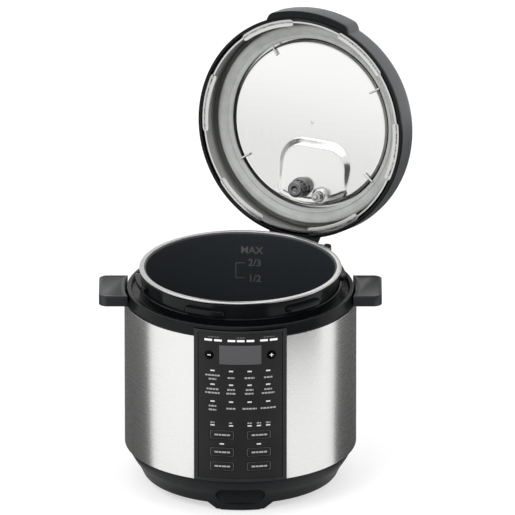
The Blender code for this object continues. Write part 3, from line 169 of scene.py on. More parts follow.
def soften(points, closed=True, steps=4):
    """Rounds the corners of an outline whose points may carry a radius as a third value."""
    out = []
    count = len(points)
    for i, point in enumerate(points):
        r = point[2] if len(point) > 2 else 0
        here = Vector(point[:2])
        if not r or (not closed and i in (0, count - 1)):
            out.append(tuple(here))
            continue
        before = Vector(points[i - 1][:2]) - here
        after = Vector(points[(i + 1) % count][:2]) - here
        reach = min(r, before.length * 0.49, after.length * 0.49)
        start = here + before.normalized() * reach
        end = here + after.normalized() * reach
        for step in range(steps + 1):
            t = step / steps
            out.append(tuple(start * (1 - t) ** 2 + here * 2 * t * (1 - t) + end * t * t))
    return out


def near(r, z, *points):
    """Outline points in millimetres away from (r, z), each with an optional corner radius."""
    return [(r + a * MM, z + b * MM, *(c * MM for c in corner)) for a, b, *corner in points]


# ---- meshes


def add_object(name, bm, place=None):
    """Turns a bmesh into an object."""
    bmesh.ops.remove_doubles(bm, verts=bm.verts, dist=1e-6)
    bmesh.ops.recalc_face_normals(bm, faces=bm.faces)
    mesh = bpy.data.meshes.new(name)
    bm.to_mesh(mesh)
    bm.free()
    if place:
        mesh.transform(place)
    obj = bpy.data.objects.new(name, mesh)
    bpy.context.scene.collection.objects.link(obj)
    return obj


def shade(mesh, sharp):
    mesh.shade_smooth()
    mesh.set_sharp_from_angle(angle=radians(sharp))


def finish(name, bm, body, slot, material, place=None, replaces=(), sharp=32):
    """Turns a bmesh into a piece of the visual model."""
    obj = add_object(name, bm, place)
    shade(obj.data, sharp)
    obj.data.materials.append(material)
    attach(obj, body)
    if replaces:
        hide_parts(*replaces)
    return obj


def tool(bm, place=None):
    """A cutter, which apply_boolean removes once it has cut."""
    return add_object("cutter", bm, place)


def apply_boolean(obj, cutter, operation="DIFFERENCE", sharp=32):
    modifier = obj.modifiers.new("cut", "BOOLEAN")
    modifier.operation = operation
    modifier.solver = "EXACT"
    modifier.object = cutter
    bake(obj, sharp)
    bpy.data.objects.remove(cutter)


def bake(obj, sharp=32):
    """Applies every modifier of a piece."""
    graph = bpy.context.evaluated_depsgraph_get()
    mesh = bpy.data.meshes.new_from_object(obj.evaluated_get(graph))
    obj.modifiers.clear()
    old = obj.data
    obj.data = mesh
    bpy.data.meshes.remove(old)
    shade(mesh, sharp)


def bevel(obj, width):
    modifier = obj.modifiers.new("edges", "BEVEL")
    modifier.width = width
    modifier.segments = 3
    modifier.limit_method = "ANGLE"
    modifier.angle_limit = radians(50)
    modifier.harden_normals = False
    bake(obj, 45)


def add_loft(bm, rings, closed_path=False):
    """Faces between outlines that follow one another, capped unless they come back to the first."""
    rows = [[bm.verts.new(point) for point in ring] for ring in rings]
    pairs = list(zip(rows, rows[1:]))
    if closed_path:
        pairs.append((rows[-1], rows[0]))
    for here, there in pairs:
        for i in range(len(here)):
            j = (i + 1) % len(here)
            bm.faces.new((here[i], here[j], there[j], there[i]))
    if not closed_path:
        bm.faces.new(rows[0])
        bm.faces.new(rows[-1])


def lofted(name, rings, body, slot, material, closed_path=False, **rest):
    bm = bmesh.new()
    add_loft(bm, rings, closed_path)
    return finish(name, bm, body, slot, material, **rest)


def add_turned(bm, profile, segments=FINE, center=(0, 0, 0), lift=None):
    """A profile of (radius, height) points spun about a vertical line; it may start and end on it.

    lift(x, y), if there is one, is added to the heights.
    """
    center = Vector(center)
    rows = []
    for r, z in profile:
        row = [center + polar(r, 2 * pi * i / segments, z) for i in range(segments if r > 1e-7 else 1)]
        if lift:
            row = [spot + Vector((0, 0, lift(spot.x, spot.y))) for spot in row]
        rows.append([bm.verts.new(spot) for spot in row])
    on_axis = len(rows[0]) == 1 and len(rows[-1]) == 1
    pairs = list(zip(rows, rows[1:]))
    if not on_axis:
        pairs.append((rows[-1], rows[0]))
    for here, there in pairs:
        for i in range(segments):
            j = (i + 1) % segments
            corners = [here[i % len(here)], here[j % len(here)], there[j % len(there)], there[i % len(there)]]
            bm.faces.new(list(dict.fromkeys(corners)))


def turned(name, profile, body, slot, material, segments=FINE, center=(0, 0, 0), **rest):
    bm = bmesh.new()
    add_turned(bm, profile, segments, center)
    return finish(name, bm, body, slot, material, **rest)


def turned_tool(profile, segments=FINE, center=(0, 0, 0), place=None):
    bm = bmesh.new()
    add_turned(bm, profile, segments, center)
    return tool(bm, place)


def add_sector(bm, profile, start, end, step=radians(1.5)):
    steps = max(1, round((end - start) / step))
    turns = [start + (end - start) * i / steps for i in range(steps + 1)]
    add_loft(bm, [[polar(r, turn, z) for r, z in profile] for turn in turns])


def sector(name, profile, start, end, body, slot, material, step=radians(1.5), **rest):
    bm = bmesh.new()
    add_sector(bm, profile, start, end, step)
    return finish(name, bm, body, slot, material, **rest)


def sector_tool(profile, start, end, step=radians(1.5), place=None):
    bm = bmesh.new()
    add_sector(bm, profile, start, end, step)
    return tool(bm, place)


def add_prism(bm, outline, low, high, put):
    add_loft(bm, [[put(a, b, c) for a, b in outline] for c in (low, high)])


def prism_tool(outline, low, high, put, place=None):
    bm = bmesh.new()
    add_prism(bm, outline, low, high, put)
    return tool(bm, place)


def rectangle(r0, r1, z0, z1):
    return [(r0, z0), (r1, z0), (r1, z1), (r0, z1)]


def add_lug(bm, middle, half, section, steps=24):
    """A lug that follows the circle; section(share) is its outline from one end, -1, to the other, 1."""
    rings = []
    for i in range(steps + 1):
        share = 2 * i / steps - 1
        rings.append([polar(r, middle + share * half, z) for r, z in section(share)])
    add_loft(bm, rings)


# ---- materials


class Surface:
    """A node material. Constant values sit on the shader, and textures drive the rest."""

    def __init__(self, name, color, roughness, metallic=0.0, home=None, **sockets):
        self.home = home
        self.made = bpy.data.materials.new(name)
        self.made.use_nodes = True
        self.tree = self.made.node_tree
        self.shader = self.tree.nodes["Principled BSDF"]
        self.color = color
        self.set("Base Color", (*color, 1))
        self.set("Roughness", roughness)
        self.set("Metallic", metallic)
        for key, value in sockets.items():
            self.set(key.replace("_", " "), value)
        self.made.diffuse_color = (*color, 1)

    def set(self, socket, value):
        self.shader.inputs[socket].default_value = value

    def node(self, kind, **settings):
        made = self.tree.nodes.new("ShaderNode" + kind)
        for key, value in settings.items():
            socket = made.inputs.get(key.replace("_", " "))
            if socket is None:
                setattr(made, key, value)
            else:
                self.feed(socket, value)
        return made

    def feed(self, socket, value):
        """Links a socket to a texture's output, or sets its value."""
        if isinstance(value, bpy.types.NodeSocket):
            self.tree.links.new(value, socket)
        else:
            socket.default_value = value

    def wire(self, made, *values):
        """Feeds a node's inputs in order, and gives its first output."""
        for value, socket in zip(values, made.inputs):
            self.feed(socket, value)
        return made.outputs[0]

    def math(self, operation, *values):
        return self.wire(self.node("Math", operation=operation), *values)

    def place(self):
        """Object coordinates, for a lid's surface taken back to where the lid is drawn closed."""
        spot = self.node("TexCoord").outputs["Object"]
        if self.home:
            back = self.home.inverted()
            spot = self.wire(self.node("Mapping"), spot, back.to_translation(), back.to_euler())
        return spot

    def straight(self):
        return self.wire(self.node("Mapping"), self.place())

    def round_the_axis(self, radial, around, up):
        """Coordinates (radius, angle, height) about the piece's own vertical axis, scaled."""
        split = self.node("SeparateXYZ", Vector=self.place())
        x, y, z = (split.outputs[axis] for axis in "XYZ")
        r = self.math("SQRT", self.math("ADD", self.math("MULTIPLY", x, x), self.math("MULTIPLY", y, y)))
        angle = self.math("ARCTAN2", y, x)
        parts = [self.math("MULTIPLY", a, b) for a, b in ((r, radial), (angle, around), (z, up))]
        return self.wire(self.node("CombineXYZ"), *parts)

    def noise(self, vector, scale, detail=3.0, roughness=0.55):
        made = self.node("TexNoise", Vector=vector, Scale=scale, Detail=detail, Roughness=roughness)
        return made.outputs["Fac"]

    def drive(self, socket, value):
        self.tree.links.new(value, self.shader.inputs[socket])

    def vary_roughness(self, value, low, high):
        """Runs the roughness over a range as a texture goes through its middle values."""
        self.drive("Roughness", self.wire(self.node("MapRange"), value, 0.3, 0.7, low, high))

    def vary_color(self, value, dark, light):
        """Runs the colour between two multiples of itself."""
        ramp = self.node("ValToRGB")
        for element, position, change in zip(ramp.color_ramp.elements, (0.35, 0.65), (dark, light)):
            element.position = position
            element.color = (*(min(1, change * v) for v in self.color), 1)
        self.drive("Base Color", self.wire(ramp, value))

    def bump(self, value, distance, strength=1.0):
        self.drive("Normal", self.node("Bump", Height=value, Distance=distance, Strength=strength).outputs[0])

    def brushed_round(self, anisotropy, rotation):
        """Stretched highlights, as from lines that run round the axis."""
        home = self.home or Matrix.Identity(4)
        spot = self.node("TexCoord").outputs["Object"]
        out = self.wire(self.node("VectorMath", operation="SUBTRACT"), spot, home.to_translation())
        axis = home.to_3x3() @ Vector((0, 0, 1))
        around = self.wire(self.node("VectorMath", operation="CROSS_PRODUCT"), axis, out)
        world = self.node("VectorTransform", vector_type="VECTOR", convert_from="OBJECT", convert_to="WORLD")
        self.drive("Tangent", self.wire(world, around))
        self.set("Anisotropic", anisotropy)
        self.set("Anisotropic Rotation", rotation)


def moulded(name, color, roughness, grain=0.00004, scale=2600, **sockets):
    """Plastic with a fine moulded grain and slightly uneven gloss."""
    made = Surface(name, color, roughness, **sockets)
    fine = made.noise(made.straight(), scale, 2.0)
    broad = made.noise(made.straight(), 35, 3.0)
    made.vary_color(broad, 0.93, 1.08)
    made.vary_roughness(broad, roughness - 0.035, roughness + 0.045)
    made.bump(fine, grain, 0.5)
    return made.made


def drawn_steel(name, color, roughness, upright=True, anisotropy=0.6, depth=0.000012, home=None, grain=1):
    """Steel brushed in lines round the piece's axis, on an upright wall or on a flat face."""
    made = Surface(name, color, roughness, 1.0, home)
    per_metre = 3200
    lines = made.round_the_axis(0 if upright else per_metre, 3.0, per_metre if upright else 0)
    fine = made.noise(lines, 1.0, 1.0, 0.5)
    made.vary_color(fine, 1 - 0.03 * grain, 1 + 0.02 * grain)
    made.vary_roughness(fine, roughness - 0.03 * grain, roughness + 0.04 * grain)
    made.bump(fine, depth * grain, 0.4)
    made.brushed_round(anisotropy, 0.25)
    return made.made


def plain_metal(name, color, roughness, scale=900, depth=0.00002):
    made = Surface(name, color, roughness, 1.0)
    fine = made.noise(made.straight(), scale, 4.0)
    made.vary_color(made.noise(made.straight(), 60, 3.0), 0.93, 1.05)
    made.vary_roughness(fine, roughness - 0.05, roughness + 0.06)
    made.bump(fine, depth, 0.4)
    return made.made


def coated_pot():
    """Dark coating with fine pale specks and faint turning lines."""
    made = Surface("pot_coating", (0.020, 0.023, 0.026), 0.36)
    specks = made.noise(made.straight(), 1700, 2.0, 0.6)
    lines = made.noise(made.round_the_axis(900, 0.8, 900), 1.0, 2.0)
    made.vary_color(specks, 0.85, 1.5)
    made.vary_roughness(lines, 0.30, 0.42)
    made.bump(specks, 0.00003, 0.5)
    return made.made


def silicone_look():
    made = Surface("silicone", (0.40, 0.41, 0.40), 0.38, Subsurface_Weight=0.15, Subsurface_Scale=0.003)
    broad = made.noise(made.straight(), 90, 3.0)
    made.vary_color(broad, 0.93, 1.06)
    made.vary_roughness(broad, 0.36, 0.5)
    made.bump(made.noise(made.straight(), 1500, 2.0), 0.00003, 0.4)
    return made.made


def glass_window():
    made = Surface("display_glass", (0.075, 0.075, 0.080), 0.22, Specular_IOR_Level=0.3)
    rows = made.noise(made.straight(), 2200, 1.0)
    made.vary_color(rows, 0.94, 1.06)
    made.vary_roughness(made.noise(made.straight(), 120, 2.0), 0.18, 0.27)
    return made.made


def board():
    made = Surface("board_green", (0.02, 0.09, 0.04), 0.45)
    traces = made.node("TexBrick", Vector=made.straight(), Scale=120.0, Mortar_Size=0.06)
    made.vary_color(traces.outputs["Fac"], 0.8, 1.5)
    made.bump(traces.outputs["Fac"], 0.00005, 0.4)
    return made.made


def clear_plastic():
    made = Surface("clear_plastic", (0.86, 0.89, 0.9), 0.12, Transmission_Weight=0.92, IOR=1.49)
    made.vary_roughness(made.noise(made.straight(), 70, 3.0), 0.08, 0.18)
    made.bump(made.noise(made.straight(), 500, 2.0), 0.00002, 0.3)
    return made.made


def printed(name, color):
    made = Surface(name, color, 0.5)
    made.vary_color(made.noise(made.straight(), 1500, 2.0), 0.92, 1.06)
    return made.made


LOW_SHEEN = {"Specular_IOR_Level": 0.16}
SATIN = moulded("satin_black", (0.0085, 0.0092, 0.0105), 0.36, Specular_IOR_Level=0.22)
GRIP_BLACK = moulded("grip_black", (0.012, 0.013, 0.0145), 0.34, Specular_IOR_Level=0.36)
BASE_BLACK = moulded("base_black", (0.0065, 0.0072, 0.008), 0.46, Specular_IOR_Level=0.10)
COLLAR_BLACK = moulded("collar_black", (0.005, 0.0055, 0.006), 0.28, 0.00002, **LOW_SHEEN)
GLOSS = moulded("gloss_black", (0.004, 0.0045, 0.005), 0.16, 0.000008, 900, **LOW_SHEEN)
PANEL_BLACK = moulded("panel_black", (0.0155, 0.0155, 0.016), 0.42, 0.00002, 3200, **LOW_SHEEN)
FRAME_BLACK = moulded("frame_black", (0.020, 0.021, 0.022), 0.40, **LOW_SHEEN)
KEY_BLACK = moulded("key_black", (0.0155, 0.0155, 0.016), 0.40, 0.00002, 3200, **LOW_SHEEN)
BUTTON_BLACK = moulded("button_black", (0.001, 0.001, 0.001), 0.25, 0.00001, Specular_IOR_Level=0.08)
COVER_GREY = moulded("cover_grey", (0.060, 0.064, 0.067), 0.38, Specular_IOR_Level=0.35)
RUBBER = moulded("rubber", (0.010, 0.010, 0.010), 0.8, 0.00012, 1500)
STEEL = drawn_steel("brushed_steel", (0.72, 0.72, 0.71), 0.27, True, 0.5, 0.000001, grain=0.15)
PLATE_STEEL = drawn_steel("plate_steel", (0.76, 0.76, 0.745), 0.17, False, 0.2, 0.000006, LID_PLACE)
LID_STEEL = drawn_steel("lid_steel", (0.60, 0.60, 0.59), 0.22, False, 0.3, home=LID_PLACE)
RIM_STEEL = drawn_steel("rim_steel", (0.50, 0.50, 0.49), 0.20, False, 0.3)
SMALL_STEEL = plain_metal("small_steel", (0.60, 0.60, 0.59), 0.24)
DARK_STEEL = plain_metal("dark_steel", (0.10, 0.10, 0.105), 0.26)
POLISHED_DARK = plain_metal("polished_dark", (0.16, 0.16, 0.165), 0.18, 400, 0.00001)
ALUMINIUM = plain_metal("aluminium", (0.62, 0.63, 0.64), 0.42, 700, 0.00005)
COATING = coated_pot()
SILICONE = silicone_look()
GLASS = glass_window()
BOARD = board()
CLEAR = clear_plastic()
LIGHT_PRINT = printed("light_print", (0.80, 0.80, 0.80))
DIM_PRINT = printed("dim_print", (0.55, 0.55, 0.55))
GREY_PRINT = printed("grey_print", (0.30, 0.30, 0.31))
FAINT_PRINT = printed("faint_print", (0.11, 0.11, 0.115))
MARK_PRINT = printed("mark_print", (0.115, 0.107, 0.104))
RED = moulded("float_red", (0.5, 0.035, 0.025), 0.35, 0.00001)


# ---- base


def base_curve():
    """The bowl from its foot ring up to the band, as a smooth line through a few points."""
    points = [
        (24.5, 9.0), (23.2, 9.0), (21.4, 10.6), (18.9, 16.0), (15.2, 23.0), (11.0, 29.0),
        (7.2, 35.5), (4.4, 41.0), (3.0, 44.6), (2.9, 46.0),
    ]
    return [(BODY_R - inset * MM, COUNTER + z * MM) for inset, z in points]


def smooth_line(points, steps=3):
    """A Catmull-Rom line through the points."""
    ends = [points[0]] + points + [points[-1]]
    line = []
    for i in range(1, len(ends) - 2):
        a, b, c, d = (Vector(ends[i + k]) for k in (-1, 0, 1, 2))
        for step in range(steps):
            t = step / steps
            line.append(tuple(0.5 * (2 * b + (c - a) * t + (2 * a - 5 * b + 4 * c - d) * t ** 2
                                     + (3 * b - a - 3 * c + d) * t ** 3)))
    return line + [points[-1]]


def foot_ring(middle, grow=0.0):
    """Rings across a foot lobe, wider at its root."""
    low, high = COUNTER + 1.3 * MM - grow, COUNTER + 12 * MM
    inner, outer = BODY_R - 30.5 * MM, BODY_R - 22.2 * MM
    rings = []
    for i in range(25):
        share = i / 12 - 1
        edge = 1 - abs(share) ** 10 * 0.12
        ring = []
        section = [(inner, low)] + near(outer, low, (-1.6, 0), (-0.4, 0.5), (0, 1.6))
        for r, z in section + [(outer + 1.2 * MM, high), (inner, high)]:
            half = radians(15.5 + 8.5 * (z - low) / (high - low)) * edge
            ring.append(polar(r, middle + share * half, z))
        rings.append(ring)
    return rings


def make_base():
    line = smooth_line(base_curve())
    wall = 2.5 * MM
    inner = [(r - wall, z + 0.9 * MM) for r, z in reversed(line[8:])]
    floor = COUNTER + 12 * MM
    profile = line + inner + near(BODY_R, floor, (-44, 2.5), (-44, 0), (-31.6, 0), (-31.6, -3))
    base = turned("base_bowl", profile, "base_unit", "satin_black", BASE_BLACK, replaces=["base_housing"])
    bm = bmesh.new()
    for turn in (0, 120, 240):
        add_loft(bm, foot_ring(radians(turn)))
    bmesh.ops.triangulate(bm, faces=bm.faces)
    apply_boolean(base, tool(bm), "UNION")
    low, high = COUNTER + 12.5 * MM, COUNTER + 36 * MM
    block = [(BODY_R - 28 * MM, low)] + [(r - 1 * MM, z + 0.4 * MM) for r, z in line if low < z < high]
    block.append((BODY_R - 28 * MM, block[-1][1]))
    apply_boolean(base, sector_tool(block, -radians(17), radians(17)), "UNION")
    middle = COUNTER + 21.5 * MM
    outline = soften(near(
        0, middle, (-24, -10, 4), (-19, -12.5, 4), (19, -12.5, 4), (24, -10, 4),
        (31, 1.5, 5), (25, 10.5, 5), (-25, 10.5, 5), (-31, 1.5, 5),
    ))
    recess = prism_tool(outline, -BODY_R - 9 * MM, -BODY_R + 23 * MM, lambda a, b, c: (a, c, b))
    apply_boolean(base, recess)


def make_bottom():
    """Rubber pads under the feet, with softened lower edges."""
    half = radians(12)
    for number, turn in enumerate((0, 120, 240), 1):
        low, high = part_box(f"foot_pad_{number}")
        outline = near(BODY_R, low.z, (-29.3, 0, 0.5), (-24.9, 0, 0.5))
        outline += near(BODY_R, high.z, (-24.9, 0), (-29.3, 0))
        middle = radians(turn)
        sector(f"foot_pad_rubber_{number}", soften(outline), middle - half, middle + half, "base_unit",
               "rubber", RUBBER, replaces=[f"foot_pad_{number}"])


# ---- body


def make_shell():
    half = on_panel((PANEL[1].x - PANEL[0].x) / 2 - 5 * MM, BODY_R) + GAP / BODY_R
    wall, edge = 0.8, 0.35
    profile = near(BODY_R, BAND_LOW, (-wall, 0), (0, 0, edge))
    profile += near(BODY_R, BAND_HIGH, (0, 0, edge), (-wall, 0))
    sector("shell_skin", soften(profile), half, 2 * pi - half, "base_unit", "brushed_steel", STEEL,
           replaces=["outer_shell"])


def collar_profile():
    low, wall = BAND_HIGH + GAP, 2.4
    spigot = BODY_R - 1.1 * MM
    return soften(
        near(BODY_R, low, (0, 0, 0.3), (-0.1, 2.0, 1))
        + near(COLLAR_TOP_R, COLLAR_Z, (0, -0.6, 1.6), (-1.2, 0, 1.2))
        + near(TROUGH_R, COLLAR_Z, (1.0, 0, 1.0), (0, -1.2, 1.0))
        + near(TROUGH_R, TROUGH_Z, (-0.6, 0, 1.2))
        + near(NECK_R + GAP, TROUGH_Z, (0, 0), (0, -wall))
        + near(TROUGH_R, TROUGH_Z, (wall, -wall))
        + near(TROUGH_R, COLLAR_Z, (wall, -wall))
        + near(COLLAR_TOP_R, COLLAR_Z, (0.6 - wall, -wall))
        + near(spigot, low, (-wall, 2), (-wall, -8), (0, -8), (0, 0))
    )


def make_collar():
    collar = turned("collar_ring", collar_profile(), "base_unit", "satin_black", COLLAR_BLACK,
                    replaces=["collar"])
    half = on_panel(55 * MM) + GAP / BODY_R
    window = rectangle(BODY_R - 4.6 * MM, BODY_R + 9 * MM, BAND_HIGH - 20 * MM, PANEL[1].z + GAP)
    apply_boolean(collar, sector_tool(window, -half, half))
    notch_half = radians(23.5)
    turn = radians(JOINTS["lid_turn"]["range_deg"][1])
    notch = rectangle(TROUGH_R + 2.8 * MM, BODY_R + 9 * MM, BAND_HIGH + 1.9 * MM, COLLAR_Z + 5 * MM)
    apply_boolean(collar, sector_tool(notch, pi - turn - notch_half, pi + notch_half))


def make_handles():
    inner_r = BODY_R + GAP
    outer_x = HANDLE[1].x
    half = HANDLE[1].y
    r = 10 * MM
    reach = asin(half / inner_r) * 180 / pi
    outline = arc((outer_x - r, half - r), r, 90, 0, 10)
    outline += arc((outer_x - r, r - half), r, 0, -90, 10)
    outline += arc((0, 0), inner_r, -reach, reach, 24)
    for side, sign in (("right", 1), ("left", -1)):
        bm = bmesh.new()
        add_prism(bm, outline, HANDLE[0].z, HANDLE[1].z, lambda a, b, c: (sign * a, sign * b, c))
        bmesh.ops.recalc_face_normals(bm, faces=bm.faces)
        for pick, steps in ((max, ((2.6, 0), (0.9, -0.5))), (min, ((3, 0), (0.8, -6)))):
            face = pick(bm.faces, key=lambda face: face.calc_center_median().z)
            for inset, depth in steps:
                bmesh.ops.inset_individual(bm, faces=[face], thickness=inset * MM, depth=depth * MM)
        grip = finish(f"grip_{side}", bm, "base_unit", "satin_black", GRIP_BLACK, replaces=[f"handle_{side}"])
        bevel(grip, 0.9 * MM)


def make_flange():
    foot = TROUGH_Z - 2.7 * MM
    profile = soften(
        near(NECK_R, foot, (-3, -3), (5, -3), (5, 0), (0, 0))
        + near(NECK_R, TROUGH_Z, (0, 7.4), (0.9, 8, 0.4), (0.9, 9.4, 0.4), (0, 10))
        + near(NECK_R, RIM_Z - 3.1 * MM, (0, -1, 0.8), (-1, 0, 0.6), (-3, 0))
    )
    flange = turned("neck_ring", profile, "base_unit", "gloss_black", GLOSS, replaces=["locking_flange"])
    low, high = RIM_Z - 17 * MM, RIM_Z - 10 * MM

    def section(share):
        cut = max(0, abs(share) - 0.86) / 0.14
        reach = LUG_R - 2.6 * MM * cut ** 1.6
        drop = 1.6 * MM * cut ** 2
        root = NECK_R - 1.5 * MM
        return soften([
            (root, low), (reach, low + 0.4 * MM, 0.9 * MM), (reach, high - drop - 0.6 * MM, 0.9 * MM),
            (root, high - 0.5 * drop),
        ])

    bm = bmesh.new()
    for k in range(LUGS):
        add_lug(bm, radians(39 + 60 * k), radians(12), section)
    bmesh.ops.triangulate(bm, faces=bm.faces)
    apply_boolean(flange, tool(bm), "UNION")


def make_pot():
    floor, corner, wall = POT[0].z, 9 * MM, 1.2 * MM
    lip = 1.4 * MM
    under = RIM_Z - 2 * lip
    line = [(0, floor)] + arc((POT_R - corner, floor + corner), corner, -90, 0, 10)
    line += near(POT_R, under, (0, -1.2, 0.8), (0.9, -0.2))
    line += near(POT_R, RIM_Z, (1, -0.5, 0.4), (-1, -1.6, 1.2), (-1.2, -5, 1))
    line += arc((POT_R - corner, floor + corner), corner - wall, 0, -90, 10) + [(0, floor + wall)]
    turned("pot_wall", soften(line), "inner_pot", "pot_coating", COATING, replaces=["inner_pot"])
    ring = arc((RIM_R - lip, RIM_Z - lip), lip, -90, 90, 12)
    ring += near(POT_R, RIM_Z, (1.2, 0, 0.5), (0.9, -0.8), (1.1, -2.8))
    turned("pot_rim", soften(ring), "inner_pot", "brushed_steel", RIM_STEEL)


def add_wall_text(bm, text, size, x, z, r):
    """Flat letters bent onto the inside of a round wall, behind the middle."""
    curve = bpy.data.curves.new("letters", "FONT")
    curve.body = text
    curve.size = size
    curve.align_x = "LEFT"
    curve.resolution_u = 3
    curve.offset = size * 0.012
    holder = bpy.data.objects.new("letters", curve)
    bpy.context.scene.collection.objects.link(holder)
    mesh = bpy.data.meshes.new_from_object(holder.evaluated_get(bpy.context.evaluated_depsgraph_get()))
    bpy.data.objects.remove(holder)
    part = bmesh.new()
    part.from_mesh(mesh)
    made = bmesh.ops.extrude_face_region(part, geom=part.faces[:])
    for vert in (v for v in made["geom"] if isinstance(v, bmesh.types.BMVert)):
        vert.co.z += 1
    for vert in part.verts:
        angle = pi - (x + vert.co.x) / r
        vert.co = polar(r + SKIN - 0.12 * MM * vert.co.z, angle, z + vert.co.y)
    part.to_mesh(mesh)
    part.free()
    bm.from_mesh(mesh)
    bpy.data.meshes.remove(mesh)


def add_wall_bar(bm, x0, x1, z0, z1, r):
    """A thin raised bar on the inside of the pot's back wall."""
    rings = []
    for i in range(5):
        x = x0 + (x1 - x0) * i / 4
        rings.append([polar(depth, pi - x / r, z) for depth, z in rectangle(r + SKIN, r - 0.07 * MM, z0, z1)])
    add_loft(bm, rings)


def make_pot_marks():
    r = POT_R - 1.2 * MM
    top = RIM_Z - 27 * MM
    bm = bmesh.new()
    size = 12.5 * MM
    add_wall_text(bm, "MAX", size, 0, top, r)
    add_wall_text(bm, "2/3", size, 9 * MM, top - 16 * MM, r)
    add_wall_text(bm, "1/2", size, 9 * MM, top - 36 * MM, r)
    bar = 0.9 * MM
    low, high = top - 32 * MM, top - 12 * MM
    add_wall_bar(bm, -6 * MM, -6 * MM + bar, low, high, r)
    for z in (low, high - bar):
        add_wall_bar(bm, -6 * MM, 5 * MM, z, z + bar, r)
    finish("fill_marks", bm, "inner_pot", "pot_coating", MARK_PRINT)


# ---- panel


def patch(bm, x0, x1, z0, z1, r, height=0.12 * MM):
    """A thin raised patch on the panel's curve."""
    steps = max(1, round((x1 - x0) / (2 * MM)))
    rings = []
    for i in range(steps + 1):
        x = x0 + (x1 - x0) * i / steps
        rings.append([polar(depth, on_panel(x), z) for depth, z in rectangle(r - SKIN, r + height, z0, z1)])
    add_loft(bm, rings)


def panel_z(row):
    """Heights on the panel are given above the counter, in millimetres."""
    return COUNTER + row * MM


def label(bm, x, z, width, tall=1.7):
    """A word stand-in: a row of short bars of uneven length."""
    lengths = (3.1, 2.2, 3.8, 2.6, 3.3)
    left = -width / 2
    i = int(abs(x * 7 + z * 3)) % len(lengths)
    while left < width / 2 - 0.8:
        length = min(lengths[i % len(lengths)], width / 2 - left)
        low, high = panel_z(z - tall / 2), panel_z(z + tall / 2)
        patch(bm, (x + left) * MM, (x + left + length) * MM, low, high, FACE_R)
        left += length + 0.75
        i += 1


def make_panel():
    half = on_panel(55 * MM)
    low, high = BAND_LOW + GAP, PANEL[1].z
    border = on_panel(5 * MM)
    face_low, face_high = FACE[0].z - GAP, FACE[1].z + GAP
    bm = bmesh.new()
    back = BODY_R + GAP
    edge = 0.5 * MM

    def bar(start, end, z0, z1):
        section = soften([(back, z0), (PANEL_R, z0, edge), (PANEL_R, z1, edge), (back, z1)])
        add_sector(bm, section, start, end, radians(1))

    bar(-half, half, low, face_low)
    bar(-half, half, face_high, high)
    for start, end in ((-half, -half + border), (half - border, half)):
        bar(start, end, face_low - 0.2 * MM, face_high + 0.2 * MM)
    finish("panel_surround", bm, "base_unit", "satin_black", FRAME_BLACK, replaces=["panel_frame"])
    tray = rectangle(BODY_R - 2.4 * MM, BODY_R - 0.9 * MM, face_low - 0.2 * MM, face_high + 0.2 * MM)
    tray = sector("panel_tray", tray, border - half, half - border, "base_unit", "satin_black", FRAME_BLACK,
                  radians(1))
    apply_boolean(tray, key_hole_tool())


def panel_places(names, across):
    """Each name's x and z on the panel, in two columns."""
    middles = {name: (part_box(name)[0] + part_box(name)[1]) / 2 for name in names}
    return {name: (across if middle.x > 0 else -across, middle.z) for name, middle in middles.items()}


def key_places():
    return panel_places([name for name in frame["nodes"] if name.endswith("_key")], KEY_X)


def button_places():
    return panel_places(["minus_button", "plus_button"], BUTTON_X)


def key_hole_tool():
    """Cutters for every key and button, straight through the panel."""
    bm = bmesh.new()
    key, button = rounded_rectangle(30.1 * MM, 12.3 * MM, 2.9 * MM), circle(5.7 * MM, 40)
    for places, outline in ((key_places(), key), (button_places(), button)):
        for x, z in places.values():
            angle = on_panel(x)
            side = Vector((cos(angle), sin(angle), 0))
            ends = (BODY_R - 9 * MM, PANEL_R + 9 * MM)
            add_loft(bm, [[polar(r, angle, z + b) + side * a for a, b in outline] for r in ends])
    return tool(bm)


def make_face():
    def sheet_profile(node, front, edge):
        z0, z1 = node[0].z, node[1].z
        back = FACE_R - 1 * MM
        return soften([(back, z0), (front, z0, edge), (front, z1, edge), (back, z1)])

    half = on_panel(50 * MM) - GAP / BODY_R
    sheet = sheet_profile(FACE, FACE_R, 0.3 * MM)
    face = sector("panel_sheet", sheet, -half, half, "base_unit", "panel_black", PANEL_BLACK, radians(0.8),
                  replaces=["panel_face"])
    apply_boolean(face, key_hole_tool())
    half = on_panel(25 * MM)
    window = rectangle(BODY_R - 9 * MM, PANEL_R + 9 * MM, DISPLAY[0].z - GAP, DISPLAY[1].z + GAP)
    apply_boolean(face, sector_tool(window, -half - GAP / BODY_R, half + GAP / BODY_R))
    pane = sheet_profile(DISPLAY, FACE_R + 0.05 * MM, 0.25 * MM)
    sector("display_pane", pane, -half, half, "base_unit", "display_glass", GLASS, radians(1),
           replaces=["display_window"])


def curved_cap(outline, x, z, r_low, r_high, edge=0.35 * MM):
    """Rings of a cap bent to the panel's curve, with a softened front edge."""
    rings = []
    for r, shrink in ((r_low, 0), (r_high - edge, 0), (r_high - 0.3 * edge, 0.35 * edge), (r_high, edge)):
        ring = []
        for a, b in outline:
            scale = 1 - shrink / max(abs(a), abs(b), 1e-6)
            ring.append(polar(r, on_panel(x) + a * scale / r_high, z + b * scale))
        rings.append(ring)
    return rings


def outline_strip(outline, x, z, r, width=0.45 * MM):
    """Sections round a thin raised outline on a key's face."""
    rings = []
    for a, b in outline:
        scale = 1 - width / max(abs(a), abs(b))
        corners = rectangle(r - 0.04 * MM, r + 0.07 * MM, 1, scale)
        rings.append([polar(depth, on_panel(x) + a * share / r, z + b * share) for depth, share in corners])
    return rings


